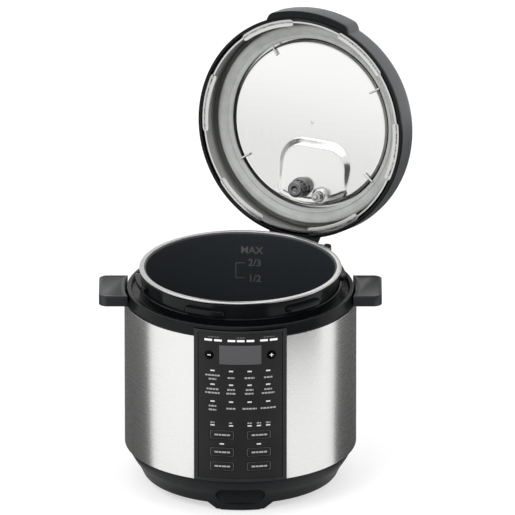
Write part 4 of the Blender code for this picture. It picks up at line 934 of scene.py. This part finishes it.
def make_keys():
    shape = rounded_rectangle(29.3 * MM, 11.5 * MM, 2.5 * MM, 8)
    line = rounded_rectangle(28.2 * MM, 10.4 * MM, 2.2 * MM, 8)
    back, front = FACE_R - 3.2 * MM, FACE_R + 0.2 * MM
    for name, (x, z) in key_places().items():
        cap = curved_cap(shape, x, z, back, front)
        lofted(f"{name}_cap", cap, name, "panel_black", KEY_BLACK, replaces=[name])
        strip = outline_strip(line, x, z, front)
        lofted(f"{name}_outline", strip, name, "panel_black", FAINT_PRINT, closed_path=True)
        bm = bmesh.new()
        left = x - 8.6 * MM
        for width in (4.4 * MM, 3.0 * MM, 5.2 * MM, 3.6 * MM):
            patch(bm, left, left + width, z - 1 * MM, z + 1 * MM, front, 0.07 * MM)
            left += width + 0.7 * MM
        finish(f"{name}_label", bm, name, "panel_black", GREY_PRINT)
    stroke, arm = 0.45 * MM, 2.1 * MM
    for name, (x, z) in button_places().items():
        cap = curved_cap(circle(5.3 * MM, 48), x, z, back, front)
        lofted(f"{name}_cap", cap, name, "panel_black", BUTTON_BLACK, replaces=[name])
        bm = bmesh.new()
        patch(bm, x - arm, x + arm, z - stroke, z + stroke, front, 0.08 * MM)
        if x > 0:
            for z0, z1 in ((stroke, arm), (-arm, -stroke)):
                patch(bm, x - stroke, x + stroke, z + z0, z + z1, front, 0.08 * MM)
        finish(f"{name}_sign", bm, name, "panel_black", LIGHT_PRINT)


def make_panel_print():
    """Light windows and word stand-ins, placed in rows down the panel."""
    bright, dim, grey, faint = (bmesh.new() for _ in range(4))

    def window(x, z, width, tall, bm=bright):
        low, high = panel_z(z - tall / 2), panel_z(z + tall / 2)
        patch(bm, (x - width / 2) * MM, (x + width / 2) * MM, low, high, FACE_R)

    for x in (-38.0, -26.5, -10.5, 0.5, 12.0, 28.0, 39.5):
        window(x, 226.2, 9.0, 2.5)
    for x, width in ((-32, 13), (0.5, 10), (34, 13)):
        label(faint, x, 230.2, width, 1.0)
    columns = (-33, -11, 11, 33)
    rows = (
        (187.5, ((17, 9), (8,), (12,), (10,))),
        (170.0, ((14, 17), (9, 11), (9, 11), (9, 15))),
        (148.5, ((9, 9), (11,), (17,), (18,))),
    )
    for z, words in rows:
        for x, lines in zip(columns, words):
            window(x, z, 5.0, 1.7, dim)
            start = z - 6.0 if len(lines) == 2 else z - 8.4
            for k, width in enumerate(lines):
                label(grey, x, start - 4.8 * k, width, 2.0)
    for x in (-33, -11, 11, 22, 33):
        window(x, 118.2, 5.0, 1.6, dim)
        label(grey, x, 121.6, 5.0, 1.5)
    for x in (-22, 22):
        window(x, 94.8, 5.2, 1.7, dim)
    for name, bm, material in (
        ("panel_lights", bright, LIGHT_PRINT), ("panel_dim_lights", dim, DIM_PRINT),
        ("panel_words", grey, GREY_PRINT), ("panel_small_words", faint, FAINT_PRINT),
    ):
        finish(name, bm, "base_unit", "panel_black", material)


# ---- lid


def on_lid(name, profile, slot, material, segments=FINE, center=(0, 0, 0), body="lid", **rest):
    return turned(name, profile, body, slot, material, segments, center, place=LID_PLACE, **rest)


PIPE_SPOT = Vector((-4.9 * MM, 78.8 * MM, 0))
FLOAT_SPOT = Vector((22.1 * MM, 84 * MM, 0))
PIPE_R = 5 * MM
FLOAT_R = 2.8 * MM


def rod_tool(r, low, high, spot, steps=48):
    return turned_tool([(0, low), (r, low), (r, high), (0, high)], steps, spot, LID_PLACE)


def bore(obj, low, *holes):
    """Round holes from a height up, each given as a radius and a spot."""
    for r, spot in holes:
        apply_boolean(obj, rod_tool(r, low, LID_TOP + 9 * MM, spot))


def cover_line():
    edge = SKIRT_Z + 34 * MM
    points = [(0, LID_TOP)] + near(SKIRT_R, LID_TOP, (-50, -3.2), (-16, -7.25))
    return smooth_line(points + near(SKIRT_R, edge, (-5, 4.5), (-1.3, 0), (0, -7)), 5)


def make_cover():
    wall = 2.6 * MM
    line = cover_line()
    inside = [(0, LID_TOP - wall)]
    for r, z in line[1:]:
        share = r / SKIRT_R
        inside.append((max(0, r - wall * (0.15 + 0.85 * share ** 6)), z - wall * (1 - 0.7 * share ** 8)))
    skirt = near(SKIRT_R, SKIRT_Z + 4.2 * MM, (0, 0.3), (-0.3, 0), (-2.6, 0))
    profile = line + skirt + list(reversed(inside))
    cover = on_lid("cover_shell", profile, "cover_grey", COVER_GREY, replaces=["lid_cover"])
    bore(cover, SKIRT_Z + 30 * MM, (PIPE_R + GAP, PIPE_SPOT), (FLOAT_R + 2.2 * MM, FLOAT_SPOT))
    rim = near(SKIRT_R, SKIRT_Z, (-3.7, 0, 0.5), (0, 0, 0.8), (0, 4, 0.3), (-3.7, 4))
    on_lid("cover_rim", soften(rim), "gloss_black", GLOSS)


def make_tab():
    """The grip at the lid's front and its black rim, swelling out of the skirt."""
    top = SKIRT_Z + 39 * MM

    def grip(r):
        low = near(SKIRT_R, SKIRT_Z, (-6, 4.5)) + near(r, SKIRT_Z, (0, 4.5, 1.5))
        return low + near(r, top, (0, -6, 5), (-5, -1, 3)) + near(SKIRT_R, top, (-5, 0), (-7, -4))

    def rim(r):
        back = near(SKIRT_R, SKIRT_Z, (-2, 0), (-2, 4.2))
        return back[:1] + near(r, SKIRT_Z, (0, 0, 1.2), (0, 4.2, 0.3)) + back[1:]

    def swelling(outline):
        def section(share):
            swell = min(1, 24 * (1 - abs(share)) / 4.5)
            return soften(outline(SKIRT_R - 1.5 * MM + 8.2 * MM * sin(swell * pi / 2) ** 0.8))
        return section

    for name, outline, slot, material in (
        ("lid_tab", grip, "cover_grey", COVER_GREY), ("lid_tab_rim", rim, "gloss_black", GLOSS),
    ):
        bm = bmesh.new()
        add_lug(bm, 0, radians(24), swelling(outline), 48)
        finish(name, bm, "lid", slot, material, place=LID_PLACE)


def make_hinge_arm():
    knuckle_r = 6.2 * MM
    root_y = HINGE_R - 22 * MM
    top = SKIRT_Z + 19 * MM
    outline = [(root_y, SKIRT_Z + 0.6 * MM)] + arc((HINGE_R, HINGE_Z), knuckle_r, -130, 90, 26)
    outline += [(SKIRT_R - 1 * MM, top), (root_y, top)]
    bm = bmesh.new()
    add_prism(bm, outline, -30 * MM, 30 * MM, lambda a, b, c: (c, a, b))
    arm = finish("hinge_arm", bm, "lid", "satin_black", SATIN, place=LID_PLACE)
    bevel(arm, 0.8 * MM)
    low, high = SKIRT_Z - 9 * MM, SKIRT_Z + 25 * MM
    hollow = SKIRT_Z + 3.3 * MM
    wall, step = SKIRT_R - 3.9 * MM, SKIRT_R - 2.8 * MM
    inside = [(0, low), (wall, low), (wall, hollow), (step, hollow), (step, high), (0, high)]
    apply_boolean(arm, turned_tool(inside, place=LID_PLACE))
    pin = circle(2.8 * MM, 40, (HINGE_R, HINGE_Z))
    apply_boolean(arm, prism_tool(pin, -60 * MM, 60 * MM, lambda a, b, c: (c, a, b), LID_PLACE))


def make_pressure_lid():
    top = LID_TOP - 4.5 * MM
    shoulder = SKIRT_Z + 27 * MM

    def line(t):
        points = [(0, top - t * MM)] + near(LID_R, top, (-24, -4.5 - t))
        return smooth_line(points + near(LID_R, shoulder, (-4 - 0.8 * t, 6.5 - 0.6 * t), (-t, 0)), 5)

    lip = soften(near(LID_R, LID_LUG_Z, (0, 0, 0.4), (-2, 0, 0.4)), False)
    profile = line(0) + lip + list(reversed(line(2)))
    lid = on_lid("lid_pan", profile, "bright_steel", LID_STEEL, replaces=["pressure_lid"])
    bore(lid, LID_TOP - 20 * MM, (PIPE_R + GAP, PIPE_SPOT), (FLOAT_R + GAP, FLOAT_SPOT))

    def section(share):
        cut = 2 * (max(0, abs(share) - 0.93) / 0.07) ** 2
        inner, outer = 0.6 * cut - 6, 2.5 - 0.8 * cut
        return soften(near(
            LID_R, LID_LUG_Z, (inner, 0, 0.5), (outer, 0, 0.5), (outer, 3, 0.5), (inner, 3, 0.5),
        ))

    bm = bmesh.new()
    for k in range(LUGS):
        add_lug(bm, radians(35 + 60 * k), radians(16), section)
    finish("lid_lugs", bm, "lid", "bright_steel", LID_STEEL, place=LID_PLACE)


def smooth_step(t):
    t = min(1, max(0, t))
    return t * t * (3 - 2 * t)


def ramp(t):
    """From 0 to 1 in a straight slope with eased ends."""
    t = min(1, max(0, t))
    ease = 0.2
    if t < ease:
        return t * t / (2 * ease * (1 - ease))
    if t > 1 - ease:
        return 1 - (1 - t) ** 2 / (2 * ease * (1 - ease))
    return (t - ease / 2) / (1 - ease)


def boss_distance(x, y):
    """How far a point of the plate lies outside the boss's flat face."""
    half_x, corner = 39 * MM, 22 * MM
    low, high = 28 * MM, PLATE_R + 20 * MM
    dx = max(0, abs(x - 9.5 * MM) - half_x + corner)
    dy = max(0, abs(y - (low + high) / 2) - (high - low) / 2 + corner)
    return sqrt(dx * dx + dy * dy) - corner


def plate_z(x, y):
    r = sqrt(x * x + y * y)
    dish = PLATE_Z + 5.5 * MM * (1 - (r / PLATE_R) ** 2)
    boss = 1 - ramp(boss_distance(x, y) / (9.5 * MM))
    boss *= 1 - smooth_step((r - PLATE_R + 11 * MM) / (9 * MM))
    rolled = 3.2 * MM * smooth_step((r - PLATE_R + 2.6 * MM) / (2.6 * MM))
    return dish + (BOSS_Z - dish) * boss + rolled


def make_plate():
    """The dished plate with its boss, and the small turning mark in its middle."""
    bm = bmesh.new()
    wall = 1 * MM
    radii = [PLATE_R * i / 96 for i in range(97)]
    add_turned(bm, [(r, 0) for r in radii] + [(r, wall) for r in reversed(radii)], 256, lift=plate_z)
    plate = finish("lid_plate", bm, "lid", "bright_steel", PLATE_STEEL, LID_PLACE, ["inner_plate"], 50)
    bore(plate, SKIRT_Z, (FLOAT_R + GAP, FLOAT_SPOT))
    mark = near(0, plate_z(0, 0), (0, -0.35), (1.6, -0.35), (2.2, 0.2), (0, 0.2))
    on_lid("plate_mark", mark, "bright_steel", SMALL_STEEL, 32)


def make_seal():
    """From the plate's edge outwards: a shelf, a ridge, a slope down to the lip, and the grooved back."""
    inner = PLATE_R + 0.6 * MM
    outer = RIM_R + 0.5 * MM
    low = RIM_Z + 0.4 * MM
    profile = near(
        inner, low, (2, 7), (2.2, 5.6, 0.5), (3.4, 4.8, 0.6), (6.8, 3.4, 0.6),
        (7.4, 4.4, 0.4), (8.2, 4.2, 0.4), (11.6, 1.2, 1), (12.8, 0, 0.8),
    )
    profile += near(
        outer, low, (-2.2, 0, 1), (-1, 1.2, 0.8), (0, 2.6, 1), (-1.8, 4.2, 1), (0, 6.2, 1), (-0.8, 8, 0.6),
    )
    profile += near(inner, low, (2, 8, 0.6))
    on_lid("seal_ring", soften(profile), "silicone", SILICONE, replaces=["sealing_ring"])


def make_clips():
    for number, turn in enumerate((-33, 57, 123, 237), 1):
        angle = radians(turn)
        spot = polar(PLATE_R - 3 * MM, angle, PLATE_Z - 3.2 * MM)
        turn_it = Matrix.Translation(spot) @ Matrix.Rotation(angle, 4, "Z")
        rings = []
        for z, grow in ((0, -0.6), (0.25, -0.2), (0.8, 0), (1.8, 0)):
            outline = rounded_rectangle((2.4 + 2 * grow) * MM, (15 + 2 * grow) * MM, (1.1 + grow) * MM)
            rings.append([turn_it @ Vector((x, y, z * MM)) for x, y in outline])
        lofted(f"plate_clip_{number}", rings, "lid", "bright_steel", SMALL_STEEL, place=LID_PLACE,
               replaces=[f"ring_clip_{number}"])


def make_shield():
    """A cap with a row of slots, over the inner end of the steam pipe."""
    top = BOSS_Z - GAP
    low = top - 18 * MM
    r, base = 10 * MM, 12.5 * MM
    profile = near(0, low, (0, 1.2), (3, 1.2, 0.8), (4.2, 0, 0.8), (8.5, 0, 1.6), (10, 2.4, 1.6))
    profile += near(r, top, (0, -5, 0.8)) + near(base, top, (-0.6, -4.4, 0.8), (0, 0, 0.3))
    profile += near(r, top, (-1.4, 0)) + near(0, low, (8.6, 3), (0, 3))
    shield = on_lid("shield_cap", soften(profile), "dark_steel", POLISHED_DARK, 72, PIPE_SPOT,
                    replaces=["valve_shield"])
    slots = 14
    outline = [(a, low + 8.6 * MM + b) for a, b in rounded_rectangle(2 * MM, 8 * MM, 0.9 * MM, 4)]
    bm = bmesh.new()
    for k in range(slots):
        turn = Matrix.Translation(PIPE_SPOT) @ Matrix.Rotation(2 * pi * k / slots, 4, "Z")
        add_loft(bm, [[turn @ Vector((a, y, b)) for a, b in outline] for y in (r - 2.4 * MM, r + 2 * MM)])
    apply_boolean(shield, tool(bm, LID_PLACE))


def make_pipe_and_knob():
    """The steam pipe through the lid, and the valve that turns on it."""
    pipe_top = LID_TOP + 9 * MM
    pipe = near(0, BOSS_Z - 9 * MM, (2.2, 0), (5, 0, 0.5))
    pipe += near(0, pipe_top, (5, -2, 0.5), (4, 0, 0.5), (2.2, 0, 0.4))
    on_lid("vent_pipe", soften(pipe), "bright_steel", SMALL_STEEL, 48, PIPE_SPOT, replaces=["steam_pipe"])
    base = LID_TOP + 1 * MM
    top = base + 17 * MM
    r = 14 * MM
    knob = [(0, pipe_top + GAP), (PIPE_R + GAP, pipe_top + GAP), (PIPE_R + GAP, base)]
    knob += near(r, base, (-0.4, 0, 1.2), (0, 3, 2)) + near(r, top, (0, -3.4, 2.6), (-3, 0, 2.2))
    knob += near(0, top, (4.5, 0, 0.8), (3.6, -0.9, 0.8), (0, -0.9))
    valve = on_lid("valve_knob", soften(knob), "satin_black", SATIN, 72, PIPE_SPOT, "steam_valve",
                   replaces=["steam_valve"])
    bm = bmesh.new()
    spot = PIPE_SPOT + Vector((0, 20 * MM, 0))
    rings = []
    for down, grow in ((8, -0.8), (7.2, 0), (2.2, 0), (1, -1.2)):
        outline = rounded_rectangle((13 + 2 * grow) * MM, (30 + 2 * grow) * MM, (6 + grow) * MM, 10)
        rings.append([spot + Vector((x, y, top - down * MM)) for x, y in outline])
    add_loft(bm, rings)
    apply_boolean(valve, tool(bm, LID_PLACE), "UNION", 40)


def make_float():
    """The float's seat in the plate, and the pin that rises through it with its red cap and gasket."""
    seat_low = BOSS_Z - 7 * MM
    hole = FLOAT_R + GAP
    seat = near(hole, seat_low, (0, 0.6), (1.2, 0, 0.5))
    seat += near(0, seat_low, (7.4, 0, 1.2), (9.4, 2.6, 1.2), (9.9, 3.2, 0.4))
    seat += near(0, BOSS_Z - GAP, (9.9, 0, 0.3)) + near(hole, BOSS_Z - GAP, (0, 0))
    on_lid("float_collar", soften(seat), "bright_steel", SMALL_STEEL, 72, FLOAT_SPOT, replaces=["float_seat"])
    stop = LID_TOP - 6.6 * MM
    low = seat_low - 11 * MM
    pin_top = LID_TOP - 2 * MM
    head = FLOAT_R + 1.3 * MM
    cap = soften([(0, stop), (head, stop, 0.4 * MM), (head, pin_top, 0.8 * MM), (0, pin_top)])
    on_lid("float_cap", cap, "float_red", RED, 40, FLOAT_SPOT, "float_valve", replaces=["float_valve"])
    pin = soften([(0, low), (FLOAT_R, low, 0.6 * MM), (FLOAT_R, stop + 1 * MM), (0, stop + 1 * MM)])
    on_lid("float_pin", pin, "bright_steel", SMALL_STEEL, 40, FLOAT_SPOT, "float_valve")
    seal = near(FLOAT_R, seat_low, (0.3, -9, 0.4), (2.6, -9, 0.8), (2.6, -6.6, 0.8), (0.3, -6.6, 0.4))
    on_lid("float_gasket", soften(seal), "float_seal_rubber", SILICONE, 40, FLOAT_SPOT, "float_valve",
           replaces=["float_seal"])


# ---- back


def make_cup():
    low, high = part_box("condensate_cup")
    middle = (low.y + high.y) / 2
    width, depth = high.x - low.x, high.y - low.y

    def ring(inset, z):
        size = (width - 2 * inset, depth - 2 * inset, max(1.5 * MM, 6 * MM - inset))
        return [(x, middle + y, z) for x, y in rounded_rectangle(*size, 8)]

    levels = [(3.2, 0), (1.4, 0.7), (0.7, 2.2), (0.4, 4), (0.4, 40), (0, 40.6), (0, 43.6), (0.4, 44)]
    rings = [ring(inset * MM, low.z + z * MM) for inset, z in levels]
    levels = [(0.8, 44), (1.2, 43.4), (2.0, 40), (2.0, 4), (2.5, 2.4), (4, 1.6)]
    rings += [ring(inset * MM, low.z + z * MM) for inset, z in levels]
    lofted("drip_cup", rings, "condensate_cup", "clear_plastic", CLEAR, replaces=["condensate_cup"])


def make_inlet():
    low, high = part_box("power_inlet")
    middle = (low.z + high.z) / 2
    face = high.y
    rings = []
    for y, inset in ((low.y, 0), (face - 1.2 * MM, 0), (face - 0.3 * MM, 0.35 * MM), (face, 1 * MM)):
        outline = rounded_rectangle(30 * MM - 2 * inset, 24 * MM - 2 * inset, 3 * MM - inset, 8)
        rings.append([(x, y, middle + z) for x, z in outline])
    inlet = lofted("inlet_body", rings, "base_unit", "satin_black", SATIN, replaces=["power_inlet"])
    cavity = rounded_rectangle(22 * MM, 16 * MM, 2 * MM)
    floor = face - 15 * MM
    apply_boolean(inlet, prism_tool(cavity, floor, face + 5 * MM, lambda a, b, c: (a, c, middle + b)))
    bm = bmesh.new()
    for x, z in ((-6.5, -1), (0, 3), (6.5, -1)):
        rings = []
        for y, inset in ((floor - 1 * MM, 0), (face - 5 * MM, 0), (face - 4 * MM, 0.4 * MM)):
            blade = rounded_rectangle(1.8 * MM - 2 * inset, 4 * MM - 2 * inset, 0.4 * MM, 3)
            rings.append([(x * MM + a, y, middle + z * MM + b) for a, b in blade])
        add_loft(bm, rings)
    finish("inlet_blades", bm, "base_unit", "brushed_steel", SMALL_STEEL)


def make_sensor_spring():
    """A coil under the sensor, drawn at one length: it does not shorten as the pot presses the sensor down.
    """
    low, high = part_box("sensor_spring")
    wire = 0.7 * MM
    coil = (high.x - low.x) / 2 - wire
    center = (low + high) / 2
    turns, per_turn = 4.5, 40
    count = round(turns * per_turn)
    bottom, top = low.z + wire, high.z - wire
    rings = []
    for i in range(count + 1):
        angle = 2 * pi * i / per_turn
        out = Vector((cos(angle), sin(angle), 0))
        spot = Vector((center.x, center.y, bottom + (top - bottom) * i / count)) + out * coil
        rings.append([spot + out * a + Vector((0, 0, b)) for a, b in circle(wire, 10)])
    spring = lofted("sensor_coil", rings, "base_unit", "brushed_steel", SMALL_STEEL,
                    replaces=["sensor_spring"])
    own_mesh(spring)


def dress_nodes():
    """CAD nodes that keep their own shape get a finished surface."""
    looks = (
        (SATIN, ("bottom_cover", "hinge_carriage", "cup_bracket")),
        (SMALL_STEEL, ("base_screw_1", "base_screw_2", "base_screw_3", "hinge_rail", "hinge_pin")),
        (SMALL_STEEL, ("hinge_spring_left", "hinge_spring_right", "temperature_sensor")),
        (ALUMINIUM, ("inner_liner", "liner_floor", "heater_plate", "sensor_cup")),
        (DARK_STEEL, ("heating_element", "pressure_switch", "display_module")),
        (BOARD, ("main_board", "control_board")),
    )
    for material, names in looks:
        for name in names:
            for place in frame["nodes"][name].material_slots:
                place.material = material


# ---- studio


def flat_material(name, grey, glow=0.0):
    made = Surface(name, (grey, grey, grey), 0.9)
    if glow:
        made.set("Emission Color", (1, 1, 1, 1))
        made.set("Emission Strength", glow)
    return made.made


def card(name, corners, material, glossy_only=False):
    """A flat stage card, which may show in reflections alone."""
    mesh = bpy.data.meshes.new(name)
    mesh.from_pydata([tuple(c) for c in corners], [], [tuple(range(len(corners)))])
    mesh.materials.append(material)
    obj = bpy.data.objects.new(name, mesh)
    bpy.context.scene.collection.objects.link(obj)
    if glossy_only:
        for ray in ("camera", "diffuse", "shadow", "transmission", "volume_scatter"):
            setattr(obj, f"visible_{ray}", False)


def make_studio():
    world = bpy.data.worlds.new("studio")
    bpy.context.scene.world = world
    world.use_nodes = True
    background = world.node_tree.nodes["Background"]
    background.inputs["Color"].default_value = (1, 1, 1, 1)
    background.inputs["Strength"].default_value = 1.0
    z = COUNTER - 0.1 * MM
    reach = 8
    floor = [(-reach, -reach, z), (reach, -reach, z), (reach, reach, z), (-reach, reach, z)]
    card("floor", floor, flat_material("floor", 0.5, 0.56))
    dark = flat_material("dark_card", 0.05)
    z = COUNTER + 1 * MM
    far = ((0.95, 80), (0.95, 50), (0.95, 20), (2.2, 5), (2.4, 42), (2.2, 80))
    sides = (
        ("left", -1, [(0.13, -0.085), (1.8, 0.27), (1.8, 1.3), (0.15, 1.3), (0.145, 0.0)]),
        ("right", 1, [(0.13, -0.07), (1.8, 0.45), (1.8, 1.3), (0.15, 1.3), (0.145, 0.0)]),
        ("front", 1, [(-0.10, -0.16), (0.10, -0.16), (0.9, -1.6), (-0.9, -1.6)]),
        ("far", 1, [polar(away, radians(turn), 0)[:2] for away, turn in far]),
    )
    for name, sign, corners in sides:
        card(f"flag_{name}", [(sign * x, y, z) for x, y in corners], dark, True)
    turn, away, half, top = radians(42), 1.7, 1.3, Vector((0, 0, 1.0))
    middle = polar(away, turn, 0)
    side = Vector((cos(turn), sin(turn), 0)) * half
    corners = [middle - side, middle + side, middle + side + top, middle - side + top]
    card("flag_standing", corners, dark, True)
    overhead = [(-1.6, -0.9, 1.5), (0.5, -0.9, 1.5), (0.5, 0.8, 1.5), (-1.6, 0.8, 1.5)]
    card("overhead", overhead, flat_material("bright_card", 0.8, 1.1), True)
    target = Vector((0, 0, 0.2))
    for name, spot, size, power in (("key", (-1.4, -1.8, 2.2), 1.4, 30), ("fill", (1.8, -1.2, 1.4), 1.2, 10)):
        light = bpy.data.lights.new(name, "AREA")
        light.size = size
        light.energy = power
        obj = bpy.data.objects.new(name, light)
        bpy.context.scene.collection.objects.link(obj)
        obj.location = spot
        obj.rotation_euler = (target - Vector(spot)).to_track_quat("-Z", "Y").to_euler()
        obj.visible_glossy = False


def make_camera():
    """A long lens, so that the view is nearly parallel, looking down at the rim from straight ahead."""
    tilt = asin(0.363)
    distance = 20.0
    across, rise = 20.3 * MM, 10.3 * MM
    per_metre = 842  # pixels across a metre at the rim
    frame_width, sensor = 515, 36
    back = Vector((0, -cos(tilt), sin(tilt)))
    up = Vector((0, sin(tilt), cos(tilt)))
    target = Vector((across, 0, RIM_Z)) + up * rise
    camera = bpy.data.cameras.new("camera")
    camera.sensor_width = sensor
    camera.lens = per_metre * distance * sensor / frame_width
    obj = bpy.data.objects.new("camera", camera)
    bpy.context.scene.collection.objects.link(obj)
    obj.location = target + back * distance
    obj.rotation_euler = (target - obj.location).to_track_quat("-Z", "Y").to_euler()
    bpy.context.scene.camera = obj


for make in (
    make_base, make_bottom, make_shell, make_collar, make_handles, make_flange, make_pot, make_pot_marks,
    make_panel, make_face, make_keys, make_panel_print,
    make_cover, make_tab, make_hinge_arm, make_pressure_lid, make_plate, make_seal, make_clips, make_shield,
    make_pipe_and_knob, make_float,
    make_cup, make_inlet, make_sensor_spring, dress_nodes, make_studio, make_camera,
):
    make()
bpy.context.scene.view_settings.view_transform = "Standard"
